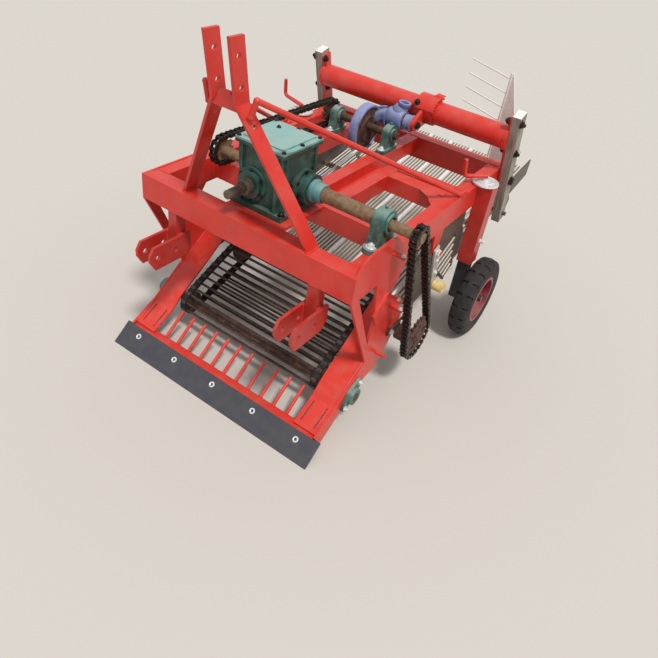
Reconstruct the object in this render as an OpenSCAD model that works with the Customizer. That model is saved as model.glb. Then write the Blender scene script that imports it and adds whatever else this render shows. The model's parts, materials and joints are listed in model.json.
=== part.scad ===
// Tractor-mounted potato harvester: a digging share, a short rod-web elevator
// and a rear sieve that an eccentric shakes. Millimetres, +Z up, +Y to the rear.
// The origin is on the ground, under the middle of the machine's box.

/* [Frame] */
// Width over the side rails
frame_w = 985; // [940:5:1040]
// Height of the frame's top face above the ground
frame_top = 768; // [750:2:800]
// Height of the front beam and of the side rails
beam_h = 106; // [96:2:110]
// Depth of the front beam, front to back
beam_d = 72; // [64:2:80]
// Width of a side rail
rail_w = 62; // [56:2:70]
// Wall of the frame's tubes
wall = 6; // [4:1:8]
// Length of the frame, beam front to rear member back
frame_len = 1325; // [1300:5:1350]
// Thickness of the elevator's side plates
plate_t = 10; // [8:1:12]
// Thickness of the two plates beside the web
arm_t = 9; // [8:1:10]
// Width of the two plates beside the web
arm_w = 106; // [100:1:108]

/* [Hitch] */
// Distance between the two lower hitch points
hitch_span = 683; // [660:1:720]
// Diameter of the lower hitch pin holes
hitch_bore = 22.5; // [22:0.5:29]
// Gap between the two ears of a lower hitch
hitch_gap = 58; // [50:1:64]
// Thickness of a hitch ear
ear_t = 12; // [10:1:14]
// Height of the lower hitch holes
hitch_z = 520; // [505:5:535]
// Distance between the two holes of a lower hitch
hitch_pitch = 93; // [80:1:110]
// Height of the mast's top end
mast_top = 1432; // [1400:2:1460]
// Distance from the middle to a mast strap's foot
mast_foot = 290; // [270:2:310]
// Width of a mast strap
strap_w = 62; // [56:2:66]
// Thickness of a mast strap
strap_t = 12; // [10:1:14]
// Diameter of the top link holes
top_bore = 19.5; // [19:0.5:26]
// Inner gap between the mast straps at the top
mast_gap = 84; // [76:2:90]

/* [Share] */
// Width of the digging share
share_w = 1055; // [1020:5:1080]
// Thickness of the share
share_t = 10; // [8:1:12]
// Number of tines behind the share
tine_n = 11; // [9:2:13]
// Distance between two tines
tine_pitch = 67; // [60:1:72]
// Diameter of a tine
tine_d = 14; // [12:1:16]

/* [Elevator] */
// Diameter of a web rod
web_rod_d = 11; // [9:1:12]
// Distance between two web rods, about
web_pitch = 36; // [34:1:45]
// Gap from the web's rods to the plates beside it
web_gap = 8.5; // [6:0.5:20]
// Thickness of the web's two side belts
web_belt_t = 12; // [12:0.5:14]
// Radius of the web over the front roller
web_front_r = 52; // [46:1:56]
// Radius of the web over the drive wheels
web_drive_r = 72; // [64:1:78]

/* [Drive] */
// Height of the cross shaft and of the power input
drive_z = 866; // [856:2:876]
// Pitch of the two roller chains
chain_pitch = 25.4; // [19:0.1:26]
// Width of a roller chain
chain_w = 32; // [28:1:34]
// Distance from the frame's side to the right chain
chain_out = 90.5; // [86:0.5:96]
// Radius of the sprocket at the cross shaft's right end
top_sprocket_r = 38; // [34:1:44]
// Radius of the elevator's drive sprocket
low_sprocket_r = 92; // [84:1:98]
// Radius of the eccentric shaft's sprocket
sieve_sprocket_r = 57; // [48:1:60]
// Radius of the cross shaft's sprocket for the sieve's chain
left_sprocket_r = 54; // [48:1:60]
// Throw of the eccentric
throw = 13; // [10:1:13]
// Radius of the eccentric's strap
strap_r = 80; // [74:1:81]
// Radius of the con rod's eye
eye_r = 41; // [38:1:46]

/* [Sieve] */
// Rise of the sieve's deck for each millimetre to the rear
deck_rise = 0.185; // [0.16:0.005:0.2]
// Distance between two sieve rods
sieve_pitch = 18.4; // [18:0.2:24]
// Gap from the sieve's sides to the outer faces of the frame
sieve_gap = 18.5; // [14:0.5:24]
// Thickness of the sieve's side sheets
sheet_t = 6; // [4:1:8]
// Length of the sieve's deck
sieve_len = 1285; // [1260:5:1300]
// Length of a swing arm from its pivot down to the sieve
arm_len = 203; // [190:1:210]
// Lean of the swing arms, to the rear at the bottom
arm_lean = 16.5; // [14:0.5:18]

/* [Wheels] */
// Radius of a tyre
tyre_r = 200; // [190:1:205]
// Width of a tyre
tyre_w = 90; // [84:1:100]
// Side of the square wheel post
post_w = 70; // [66:2:74]
// Side of the square leg inside the post
leg_w = 54; // [50:1:54]

/* [Hidden] */
$fn = 48;
// Clearance of a pin in its bore, on the radius
pin_gap = 0.6;

half = frame_w / 2;
beam_z = frame_top - beam_h;
rail_in = half - rail_w;
rear_y = frame_len - 60;
sieve_half = half - sieve_gap;
web_half = half - arm_w - web_gap;

// Shaft axes as [y, z]
cross_axis = [242, drive_z];
roller_axis = [125, 152];
drive_axis = [468, 284];
ecc_axis = [frame_len - 337, frame_top + 82];
chain_right_x = half + chain_out;
chain_left_x = -308;

// The sieve hangs on arms that turn about these two pivots
swing_pivot = [frame_len - 41, frame_top - 52];
arm_dir = [sin(arm_lean), -cos(arm_lean)];
rear_joint = swing_pivot + arm_len * arm_dir;
tube_axis = swing_pivot + [-78, 218];
tube_r = 53;
board_t = 40;
board_w = 64;
board_top = 1055;

deck_y0 = drive_axis[0] + 107;
deck_z0 = 327;
deck_y1 = deck_y0 + sieve_len;
front_joint = [deck_y0 + 163, deck_z0 + 163 * deck_rise + 18];
hanger_pivot = front_joint - arm_len * arm_dir;
y_front = -181;
y_rear = deck_y1;
y_mid = (y_front + y_rear) / 2;

function deck_z(y) = deck_z0 + (y - deck_y0) * deck_rise;

// Box between three ranges, each as [low, high]
module block(x, y, z) {
  translate([x[0], y[0], z[0]]) cube([x[1] - x[0], y[1] - y[0], z[1] - z[0]]);
}

// Puts the machine's box in the middle; the modules below count y from the beam's front
module placed() translate([0, -y_mid, 0]) children();

// A shape on the right side and its mirror image on the left
module both_sides() {
  children();
  mirror([1, 0, 0]) children();
}

// Outline in the y-z plane, extruded along x from x0 to x1
module side_shape(x0, x1) {
  translate([x0, 0, 0]) rotate([90, 0, 90]) linear_extrude(x1 - x0) children();
}

// Cylinder along x round the axis [y, z], from x0 to x1
module x_cyl(axis, x0, x1, r) {
  translate([x0, axis[0], axis[1]]) rotate([0, 90, 0]) cylinder(r = r, h = x1 - x0);
}

// Round bar between two points
module bar(a, b, r) {
  d = b - a;
  flat = norm([d[0], d[1]]);
  translate(a) rotate([0, atan2(flat, d[2]), atan2(d[1], d[0])]) cylinder(r = r, h = norm(d));
}

// Points on an arc round the centre c, from angle a0 to a1 in n steps
function arc_points(c, r, a0, a1, n) =
  [for (i = [0 : n]) let (a = a0 + (a1 - a0) * i / n) c + r * [cos(a), sin(a)]];

// Filled outline of a belt round two circles, arcs joined by their tangents
module belt_fill(p, rp, q, rq) {
  d = q - p;
  along = atan2(d[1], d[0]);
  off = acos((rp - rq) / norm(d));
  polygon(concat(
    arc_points(p, rp, along + off, along + 360 - off, 18),
    arc_points(q, rq, along - off, along + off, 18)
  ));
}

module belt(p, rp, q, rq, t) {
  difference() {
    belt_fill(p, rp + t / 2, q, rq + t / 2);
    belt_fill(p, rp - t / 2, q, rq - t / 2);
  }
}

module front_beam() {
  color("#d8342c") placed() difference() {
    block([-half, half], [0, beam_d], [beam_z, frame_top]);
    block([-half - 1, half + 1], [wall, beam_d - wall], [beam_z + wall, frame_top - wall]);
  }
}

module side_rails() {
  color("#d8342c") placed() both_sides() difference() {
    block([rail_in, half], [beam_d, rear_y], [beam_z, frame_top]);
    block([rail_in + wall, half - wall], [beam_d - 1, rear_y + 1], [beam_z + wall, frame_top - wall]);
  }
}

module rear_member() {
  color("#d8342c") placed() difference() {
    block([-half, half], [rear_y, frame_len], [beam_z, frame_top]);
    block([-half + 12, half - 12], [rear_y + wall, frame_len - wall],
          [beam_z - 1, frame_top - wall]);
  }
}

// Pins of the swing boards, each with its nut on the outer side
module swing_pins() {
  color("#3b3f42") placed() both_sides() {
    x_cyl(swing_pivot, half, board_x + board_t + 14, 12);
    x_cyl(swing_pivot, board_x + board_t + 1, board_x + board_t + 14, 19);
  }
}

module front_member() {
  color("#c62f28") placed() block([-rail_in, rail_in], [324, 374], [frame_top - 90, frame_top]);
}
// The right bay's inner corner, where its cross members meet the lengthwise one
bay_x = 172;
bay_end = 910;
module long_members() {
  color("#c62f28") placed() {
    for (x = [[-8, 52], [-290, -240]]) block(x, [374, rear_y], [frame_top - 70, frame_top]);
    block([bay_x - 57, bay_x], [374, bay_end], [frame_top - 70, frame_top]);
    block([52, bay_x - 57], [374, bay_end], [frame_top - 70, frame_top - 50]);
  }
}
module side_member() {
  color("#c62f28") placed() difference() {
    union() {
      block([bay_x, rail_in], [844, bay_end], [frame_top - 70, frame_top]);
      block([bay_x, rail_in], [757, 832], [frame_top - 70, frame_top]);
      block([bay_x, rail_in], [757, 844], [frame_top - 70, frame_top - 18]);
      translate([0, 0, frame_top - 12]) linear_extrude(12) polygon([
        [rail_in - 102, 757], [rail_in - 52, 728], [rail_in, 668], [rail_in, 757]
      ]);
    }
    block([rail_in - 22, rail_in - 2], [768, 778], [frame_top - 30, frame_top + 1]);
  }
}

module gearbox_seat() {
  color("#c62f28") placed() block([-130, 140], [beam_d + 1, 324 - 1], [frame_top - 14, frame_top]);
}

// The right plate rises over the rail beside the chain; the left one ends flush with it
function side_outline(s) = concat(
  [[0, beam_z], [0, frame_top]],
  s > 0 ? [[40, 808], [75, 822], [220, 829], [262, 818]] : [[340, frame_top]],
  [[380, 735], [388, 672],
   [318, 578], [287, 561], [385, 460], [451, 365], [378, 250], [301, 176], [196, 164]],
  arc_points(roller_axis, 48, 5, -130, 8),
  [[13, 53], [-59, 11], [-96, 78], [31, 140], [200, 268], [192, 286], [66, 533]]
);
side_window = [[48, 662], [168, 662], [203, 478], [190, 366]];
side_gusset = [[262, 586], [205, 460], [175, 517]];

module side_plate(s) {
  color("#d0332b") placed() mirror([s > 0 ? 0 : 1, 0, 0]) {
    side_shape(half, half + plate_t) difference() {
      polygon(side_outline(s));
      polygon(side_window);
      translate(roller_axis) circle(17 + pin_gap);
    }
    side_shape(half + plate_t, half + plate_t + 10) polygon(side_gusset);
    if (s > 0) guard_lugs();
  }
}
module side_plate_left() side_plate(-1);
module side_plate_right() side_plate(1);

// Lugs that hold the chain guard on the right plate
module guard_lugs() {
  for (p = [[244, 764], [295, 546], [331, 479]]) {
    block([half + plate_t, half + plate_t + 52], [p[0] - 13, p[0] + 13], [p[1] - 3, p[1] + 3]);
  }
  x_cyl([285, 269], half + plate_t, half + plate_t + 48, 7);
}

arm_top = [[-80, 77], [31, 136], [84, 188], [201, 266], [345, 370], [430, 432]];
module arm() {
  difference() {
    side_shape(half - arm_w, half) polygon([
      for (p = arm_top) p,
      for (i = [len(arm_top) - 1 : -1 : 0]) arm_top[i] + arm_t * [0.5, -0.87]
    ]);
    for (x = [half - arm_w + 18, half - 24.5]) block([x, x + 6.5], [-62, 20], [40, 160]);
  }
}
module arm_left() color("#e03a30") placed() mirror([1, 0, 0]) arm();
module arm_right() color("#e03a30") placed() arm();

share_back = [-96, 70];
// Small step from the share's rear face to the bar behind it
bar_gap = [0.3, 0.4];
module share() {
  color("#5a5c60") placed() side_shape(-share_w / 2, share_w / 2)
    polygon([[y_front, 0], [y_front + 10, 0], share_back + [8, -6], share_back]);
}

module share_bar() {
  color("#d8342c") placed() {
    side_shape(-half + 2, half - 2) translate(bar_gap) polygon([
      share_back + [0, -0.2], share_back + [8, -6.2], [-56, 46], [-52, 60], [-64, 67]
    ]);
    for (i = [0 : tine_n - 1]) {
      x = (i - (tine_n - 1) / 2) * tine_pitch;
      bar([x, -62, 56], [x, 49, 143], tine_d / 2);
    }
  }
}

// Mast strap centre line as [x, y, z]: foot, bend, top
strap_foot = [mast_foot, 46, frame_top];
strap_bend = [mast_gap / 2 + strap_t / 2, -72, 1228];
strap_end = [mast_gap / 2 + strap_t / 2, -110, mast_top];
module strap_leg(a, b, lo, hi) {
  hull() {
    for (p = [a, b]) translate(p) block([-strap_t / 2, strap_t / 2], [-strap_w / 2, strap_w / 2], [lo, hi]);
  }
}
module mast_strap() {
  difference() {
    union() {
      strap_leg(strap_foot, strap_bend, 0, 1);
      strap_leg(strap_bend, strap_end, -1, 0);
    }
    for (t = [0.25, 0.72]) {
      p = strap_bend + (strap_end - strap_bend) * t;
      x_cyl([p[1], p[2]], p[0] - 20, p[0] + 20, top_bore / 2);
    }
    x_cyl([-50, strap_bend[2] - 66], strap_bend[0], strap_bend[0] + 60, top_bore / 2);
  }
}
module mast_left() color("#d8342c") placed() mirror([1, 0, 0]) mast_strap();
module mast_right() color("#d8342c") placed() mast_strap();
module mast_spacer() {
  z = strap_bend[2];
  low = mast_gap / 2 + 22 * (strap_foot[0] - strap_bend[0]) / (strap_bend[2] - strap_foot[2]);
  color("#d8342c") placed() translate([0, -85, 0]) rotate([90, 0, 0]) linear_extrude(9) polygon([
    [-low, z - 22], [low, z - 22], [mast_gap / 2, z], [20, z + 34], [-20, z + 34], [-mast_gap / 2, z]
  ]);
}

// Braces: from a lug on each strap over a hook and down to the rails
brace_r = 10;
strap_slope = atan((strap_foot[0] - strap_bend[0]) / (strap_bend[2] - strap_foot[2]));
strap_out = [cos(strap_slope), 0, sin(strap_slope)];
brace_face = [strap_bend[0] + strap_t / 2 + 36 * tan(strap_slope) + 0.6, strap_bend[1], strap_bend[2] - 36];
brace_head = brace_face + 15 * strap_out;
brace_hook = brace_head + [17, 3, 55];
brace_bend = [half - 12, frame_len - 499, frame_top + brace_r + 2];
brace_foot = [half - 12, frame_len - 445, frame_top + brace_r + 2];
module mast_braces() {
  color("#e03a30") placed() both_sides() {
    bar(brace_face, brace_head, 9);
    translate(brace_head) sphere(brace_r + 1);
    bar(brace_head, brace_hook, brace_r);
    translate(brace_hook) sphere(brace_r + 1);
    bar(brace_hook, brace_bend, brace_r);
    translate(brace_bend) sphere(brace_r + 1);
    bar(brace_bend, brace_foot, brace_r);
    block([half - 32, half], [frame_len - 487, frame_len - 429], [frame_top, frame_top + 4]);
  }
}

// Ear outline, counted from the height of the holes
ear_outline = [[60, 50], [-132, 50], [-152, 20], [-152, -10], [-127, -52], [30, -52], [60, -20]];
hitch_rear_y = -20;
module hitch() {
  x0 = hitch_span / 2;
  difference() {
    union() {
      for (lo = [x0 - hitch_gap / 2 - ear_t, x0 + hitch_gap / 2]) {
        side_shape(lo, lo + ear_t) translate([0, hitch_z]) polygon(ear_outline);
      }
      block([x0 - hitch_gap / 2, x0 + hitch_gap / 2], [2, 50], [hitch_z - 52, hitch_z + 50]);
      block([x0 - hitch_gap / 2 + 7, x0 + hitch_gap / 2 - 7], [2, 50], [hitch_z + 50, beam_z]);
    }
    for (y = [hitch_rear_y, hitch_rear_y - hitch_pitch]) {
      x_cyl([y, hitch_z], x0 - 60, x0 + 60, hitch_bore / 2);
    }
  }
}
module hitch_left() color("#b8302a") placed() mirror([1, 0, 0]) hitch();
module hitch_right() color("#b8302a") placed() hitch();

gearbox_x = -42;
module gearbox() {
  x0 = gearbox_x - 70;
  x1 = gearbox_x + 130;
  y0 = cross_axis[0] - 132;
  y1 = cross_axis[0] + 78;
  top = drive_z + 154;
  color("#2e5a50") placed() {
    block([x0 - 20, x1 + 20], [y0 - 14, y1 + 10], [frame_top + 0.5, frame_top + 22]);
    hull() {
      block([x0, x1], [y0, y1], [top - 40, top - 12]);
      block([x0 + 8, x1 - 8], [y0 + 8, y1 - 6], [frame_top + 10, frame_top + 22]);
    }
    block([x0 - 10, x1 + 10], [y0 - 10, y1 + 10], [top - 12, top]);
    for (x = [x0 + 14, x1 - 26]) block([x, x + 12], [y0 - 8, y0 + 10], [frame_top + 22, top - 12]);
    for (y = [y0 + 14, y1 - 26]) block([x1 - 10, x1 + 8], [y, y + 12], [frame_top + 22, top - 12]);
    translate([gearbox_x, y0 + 10, drive_z]) rotate([90, 0, 0]) {
      cylinder(r = 64, h = 16);
      cylinder(r = 50, h = 34);
    }
    x_cyl(cross_axis, x1 - 10, x1 + 12, 64);
    x_cyl(cross_axis, x1 - 10, x1 + 40, 50);
    x_cyl(cross_axis, x1 + 30, x1 + 50, 58);
    x_cyl(cross_axis, x1 + 50, x1 + 66, 40);
    x_cyl(cross_axis, x0 - 30, x0 + 10, 52);
    x_cyl(cross_axis, x0 - 12, x0 + 10, 62);
  }
}
module gearbox_lid() {
  color("#5fa08c") placed() {
    block([gearbox_x - 80, gearbox_x + 140], [cross_axis[0] - 142, cross_axis[0] + 88], [drive_z + 154, drive_z + 162]);
    block([gearbox_x - 60, gearbox_x + 120], [cross_axis[0] - 122, cross_axis[0] + 68], [drive_z + 162, drive_z + 168]);
  }
}
module input_shaft() {
  color("#6b5546") placed() translate([gearbox_x, cross_axis[0] - 156, drive_z]) rotate([90, 0, 0]) {
    cylinder(r = 30, h = 30);
    cylinder(r = 17.3, h = 112);
  }
}
module cross_shaft() {
  color("#8a6a4c") placed() {
    x_cyl(cross_axis, gearbox_x + 196, rail_in, 27.5);
    x_cyl(cross_axis, rail_in, chain_right_x + 16, 20);
    sprocket(cross_axis, chain_right_x, top_sprocket_r, drive_axis);
    x_cyl(cross_axis, chain_left_x - 12, gearbox_x - 100, 20);
    sprocket(cross_axis, chain_left_x, left_sprocket_r, ecc_axis);
  }
}

// Pillow block: feet on z0, centred on the shaft
module pillow(axis, x, z0, len, r, wide, bore) {
  difference() {
    union() {
      translate([x, axis[0], z0]) linear_extrude(20) {
        square([wide, len - wide], center = true);
        for (s = [-1, 1]) translate([0, s * (len - wide) / 2]) circle(wide / 2);
      }
      side_shape(x - wide / 2 + 6, x + wide / 2 - 6) {
        translate(axis) circle(r);
        polygon([[axis[0] - r, axis[1]], [axis[0] - r - 8, z0], [axis[0] + r + 8, z0], [axis[0] + r, axis[1]]]);
      }
      x_cyl(axis, x - wide / 2 - 3, x + wide / 2 + 3, bore + 11);
      translate([x, axis[0] + 4, axis[1] + r - 3]) cylinder(r = 5, h = 12);
    }
    x_cyl(axis, x - wide, x + wide, bore);
  }
}
module cross_pillow() color("#2f6b4c") placed() pillow(cross_axis, half - 51.5, frame_top, 180, 50, 60, 27.5);

// Point and outward normal at the distance t along a loop round two circles
function loop_len(p, rp, q, rq) = let (d = norm(q - p), a = asin((rp - rq) / d))
  2 * d * cos(a) + PI * (rp + rq) + 2 * a * PI / 180 * (rp - rq);
function loop_at(p, rp, q, rq, t) =
  let (d = norm(q - p), turn = atan2(q[1] - p[1], q[0] - p[0]), a = asin((rp - rq) / d),
       run = d * cos(a), arc_q = PI * rq * (180 - 2 * a) / 180, up = turn + 90 - a, low = turn - 90 + a)
  t < run ? [p + rp * [cos(up), sin(up)] + t * [cos(up - 90), sin(up - 90)], up]
  : t < run + arc_q ? let (g = up - (t - run) / rq * 180 / PI) [q + rq * [cos(g), sin(g)], g]
  : t < 2 * run + arc_q ? [q + rq * [cos(low), sin(low)] + (t - run - arc_q) * [cos(low - 90), sin(low - 90)], low]
  : let (g = low - (t - 2 * run - arc_q) / rp * 180 / PI) [p + rp * [cos(g), sin(g)], g];

// Edge of a chain of plates, wide at the pins and waisted between them
function link_edge(p, rp, q, rq, side) =
  let (whole = loop_len(p, rp, q, rq), n = round(whole / chain_pitch), step = whole / n)
  [for (k = [0 : n - 1], part = [[-0.24, 10.4], [0.24, 10.4], [0.5, 7.4]])
    let (at = loop_at(p, rp, q, rq, (k + part[0] + 0.25) * step))
    at[0] + side * part[1] * [cos(at[1]), sin(at[1])]];

// Sprocket: a disc inside the chain, with teeth where the chain leaves it free
module sprocket(axis, x, r, toward) {
  n = round(2 * PI * r / chain_pitch);
  d = toward - axis;
  x_cyl(axis, x - 7, x + 7, r - 11.5);
  side_shape(x - 7, x + 7) translate(axis) rotate(atan2(d[1], d[0])) {
    for (i = [0 : n - 1]) let (a = 360 * i / n) if (cos(a) > 0 && (r + 4) * abs(sin(a)) < r - 16) {
      rotate(a) polygon([[r - 15, -7], [r - 7, -6.5], [r + 3.5, -2], [r + 3.5, 2], [r - 7, 6.5], [r - 15, 7]]);
    }
  }
}
module chain_loop(p, rp, q, rq, x) {
  side_shape(x - chain_w / 2, x + chain_w / 2) difference() {
    polygon(link_edge(p, rp, q, rq, 1));
    polygon(link_edge(p, rp, q, rq, -1));
  }
}
module chain_right() {
  color("#3a302a") placed() chain_loop(cross_axis, top_sprocket_r, drive_axis, low_sprocket_r, chain_right_x);
}
module chain_left() {
  color("#3a302a") placed() chain_loop(cross_axis, left_sprocket_r, ecc_axis, sieve_sprocket_r, chain_left_x);
}

module drive_shaft() {
  color("#7a4a34") placed() {
    x_cyl(drive_axis, -half - 46, chain_right_x + 16, 17.5);
    for (x = [-belt_x, belt_x]) x_cyl(drive_axis, x - 12, x + 12, web_drive_r - web_belt_t / 2 - 0.5);
    difference() {
      sprocket(drive_axis, chain_right_x, low_sprocket_r, cross_axis);
      for (a = [18 : 72 : 306]) {
        x_cyl(drive_axis + 52 * [cos(a), sin(a)], chain_right_x - 9, chain_right_x + 9, 14);
      }
    }
    x_cyl(drive_axis, chain_right_x - 14, chain_right_x + 14, 30);
  }
}
module drive_bearings() {
  color("#3b3f42") placed() both_sides() {
    difference() {
      x_cyl(drive_axis, half + plate_t, half + plate_t + 34, 46);
      x_cyl(drive_axis, half, half + 60, 17.5);
    }
    block([half + plate_t, half + plate_t + 12], [340, drive_axis[0]], [drive_axis[1] + 40, drive_axis[1] + 64]);
  }
}
module front_roller() {
  color("#4a4a48") placed() {
    x_cyl(roller_axis, -half - 40, half + 40, 17);
    for (x = [-belt_x, belt_x]) x_cyl(roller_axis, x - 14, x + 14, web_front_r - web_belt_t / 2 - 0.5);
  }
}
module roller_bearings() {
  color("#2f6b4c") placed() both_sides() difference() {
    union() {
      side_shape(half + plate_t, half + plate_t + 12) for (s = [-1, 1]) {
        belt_fill(roller_axis, 38, roller_axis + s * 59 * [cos(41), sin(41)], 16);
      }
      x_cyl(roller_axis, half + plate_t, half + plate_t + 28, 36);
    }
    x_cyl(roller_axis, half, half + 60, 17);
  }
}

// The web is a loop round the roller and the drive wheels
web_d = drive_axis - roller_axis;
belt_x = web_half - 18;
web_run = norm(web_d);
web_along = atan2(web_d[1], web_d[0]);
module elevator_web() {
  off = acos((web_front_r - web_drive_r) / web_run);
  top_a = roller_axis + web_front_r * [cos(web_along + off), sin(web_along + off)];
  top_b = drive_axis + web_drive_r * [cos(web_along + off), sin(web_along + off)];
  low_a = roller_axis + web_front_r * [cos(web_along - off), sin(web_along - off)];
  low_b = drive_axis + web_drive_r * [cos(web_along - off), sin(web_along - off)];
  n = floor(norm(top_b - top_a) / web_pitch);
  front_n = floor(web_front_r * (360 - 2 * off) * PI / 180 / web_pitch);
  drive_n = floor(web_drive_r * 2 * off * PI / 180 / web_pitch);
  spots = concat(
    [for (i = [0 : n]) top_a + (top_b - top_a) * i / n],
    [for (i = [0 : n]) low_a + (low_b - low_a) * i / n],
    [for (i = [1 : front_n - 1]) let (a = web_along + off + (360 - 2 * off) * i / front_n)
      roller_axis + web_front_r * [cos(a), sin(a)]],
    [for (i = [1 : drive_n - 1]) let (a = web_along + off - 2 * off * i / drive_n)
      drive_axis + web_drive_r * [cos(a), sin(a)]]
  );
  color("#4a3f38") placed() {
    for (p = spots) x_cyl(p, -web_half, web_half, web_rod_d / 2, $fn = 8);
    both_sides() side_shape(belt_x - 14, belt_x + 14) {
      belt(roller_axis, web_front_r, drive_axis, web_drive_r, web_belt_t);
    }
  }
}

module eccentric_shaft() {
  color("#7a5a44") placed() {
    x_cyl(ecc_axis, chain_left_x - 14, 72, 17.5);
    sprocket(ecc_axis, chain_left_x, sieve_sprocket_r, cross_axis);
    x_cyl(ecc_centre, strap_x - 23, strap_x + 23, strap_r - 22);
  }
}
module eccentric_pillows() {
  color("#2f6b4c") placed() for (x = [-262, 26]) {
    pillow(ecc_axis, x, frame_top, 150, 42, 46, 17.5);
  }
}
strap_x = -107;
ecc_centre = ecc_axis - [0, throw];
eye_pin = ecc_axis + [108, 38];
eye_x = [-50, 36];
module eccentric_strap() {
  color("#6e7bb5") placed() difference() {
    union() {
      x_cyl(ecc_centre, strap_x - 23, strap_x + 23, strap_r);
      bar([strap_x + 12, ecc_centre[0] + 52, ecc_centre[1] + 38],
          [eye_x[0] + 12, eye_pin[0] - 24, eye_pin[1] - 12], 27);
      x_cyl(eye_pin, eye_x[0], eye_x[1], eye_r);
      translate([14, eye_pin[0] + 14, eye_pin[1] + 30]) cylinder(r = 20, h = 50);
    }
    x_cyl(ecc_centre, strap_x - 60, strap_x + 60, strap_r - 21.5);
    x_cyl(eye_pin, eye_x[0] - 20, eye_x[1] + 10, eye_r - 11);
    translate([14, eye_pin[0] + 14, eye_pin[1] + 68]) cylinder(r = 12, h = 20);
  }
}

module rocker_tube() {
  color("#e23c32") placed() difference() {
    x_cyl(tube_axis, -half - 2, half + 2, tube_r);
    x_cyl(tube_axis, -half - 10, half + 10, tube_r - 6);
  }
}

// Frame of the swing arm: x across, y along the lean, from the pivot upward
module on_arm(p) translate([0, p[0], p[1]]) rotate([arm_lean, 0, 0]) children();

board_x = half + 13;
up_len = (board_top - swing_pivot[1]) / cos(arm_lean);
module rocker_plates() {
  color("#d8342c") placed() both_sides() {
    difference() {
      union() {
        on_arm(swing_pivot) block([half + 2, half + 13], [-30, 30], [-40, up_len - 20]);
        x_cyl(tube_axis, half + 2, half + 13, tube_r);
      }
      x_cyl(swing_pivot, half, half + 60, 12 + pin_gap);
    }
  }
}
module swing_boards() {
  color("#a89c8c") placed() both_sides() difference() {
    on_arm(swing_pivot) block([board_x, board_x + board_t], [-board_w / 2, board_w / 2], [-arm_len - 40, up_len]);
    x_cyl(swing_pivot, half, half + 80, 12 + pin_gap);
    x_cyl(rear_joint, half, half + 80, 10 + pin_gap);
  }
}
module knuckle() {
  color("#d8342c") placed() difference() {
    union() {
      x_cyl(eye_pin, eye_x[0] - 3, eye_x[1] + 68, 12);
      x_cyl(eye_pin, eye_x[1] + 5, eye_x[1] + 50, 28);
      side_shape(eye_x[1] + 48, eye_x[1] + 64) {
        translate(eye_pin) circle(30);
        polygon([eye_pin + [-8, 29], eye_pin + [8, -29], tube_axis + [10, -60], tube_axis + [10, 60]]);
      }
      x_cyl(tube_axis, eye_x[1] + 8, eye_x[1] + 104, tube_r + 9);
    }
    x_cyl(tube_axis, eye_x[1], eye_x[1] + 120, tube_r);
  }
}

module sieve_deck() {
  n = floor((sieve_half - 12) * 2 / sieve_pitch);
  p = (sieve_half - 12) * 2 / n;
  color("#b8a88c") placed() {
    for (i = [1 : n - 1]) {
      x = -sieve_half + 12 + i * p;
      if (i % 7 == 4) {
        side_shape(x - 4, x + 4) polygon([
          [deck_y0, deck_z(deck_y0) - 8], [deck_y1, deck_z(deck_y1) - 8],
          [deck_y1, deck_z(deck_y1) + 6], [deck_y0, deck_z(deck_y0) + 6]
        ]);
      } else {
        bar([x, deck_y0, deck_z(deck_y0)], [x, deck_y1, deck_z(deck_y1)], 4, $fn = 6);
      }
    }
    for (y = [deck_y0 + 20, 870, 1250, deck_y1 - 120]) {
      side_shape(-sieve_half + 6, sieve_half - 6) translate([y, deck_z(y) - 22]) square([14, 24]);
    }
  }
}
// Corners of the rod grille in each sieve side: upper front, upper rear, lower rear, lower front
grille = [for (c = [[10, 72], [215, 161], [267, -43], [201, -87]]) front_joint + c];
module side_grille() {
  for (k = [1 : 10]) {
    a = grille[0] + (grille[3] - grille[0]) * k / 10;
    b = grille[1] + (grille[2] - grille[1]) * k / 10;
    bar([sieve_half - sheet_t / 2, a[0], a[1]], [sieve_half - sheet_t / 2, b[0], b[1]], 3.5, $fn = 6);
  }
  for (e = [[grille[0], grille[3]], [grille[1], grille[2]]]) {
    side_shape(sieve_half - sheet_t - 2, sieve_half + 2) {
      polygon([e[0] + [-6, 0], e[0] + [8, 3], e[1] + [8, 0], e[1] + [-6, -3]]);
    }
  }
}

module sieve_sides() {
  color("#b4b0a6") placed() both_sides() {
    side_shape(sieve_half - sheet_t, sieve_half) polygon([
      [deck_y0, deck_z(deck_y0) - 30], [grille[0][0] + 116, deck_z(grille[0][0] + 116) - 40], grille[0], grille[1],
      [grille[2][0] - 7, deck_z(grille[2][0]) - 40], [deck_y1, deck_z(deck_y1) - 30], [deck_y1, deck_z(deck_y1) + 60],
      [rear_joint[0] + 60, rear_joint[1] + 45], [rear_joint[0] - 60, rear_joint[1] + 45],
      [grille[2][0] + 55, deck_z(grille[2][0] + 55) + 60], [grille[2][0], 560], [grille[2][0], beam_z - 22],
      [deck_y0 + 20, beam_z - 22], [deck_y0, 560]
    ]);
    side_shape(sieve_half - sheet_t, sieve_half) translate(rear_joint) {
      polygon([[49, 25], [267, 1], [331, -72], [293, -171], [240, -120]]);
    }
    side_grille();
    x_cyl(rear_joint, sieve_half - sheet_t, half + 70, 10);
    x_cyl(front_joint, sieve_half - sheet_t, half + 40, 10);
  }
}
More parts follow.
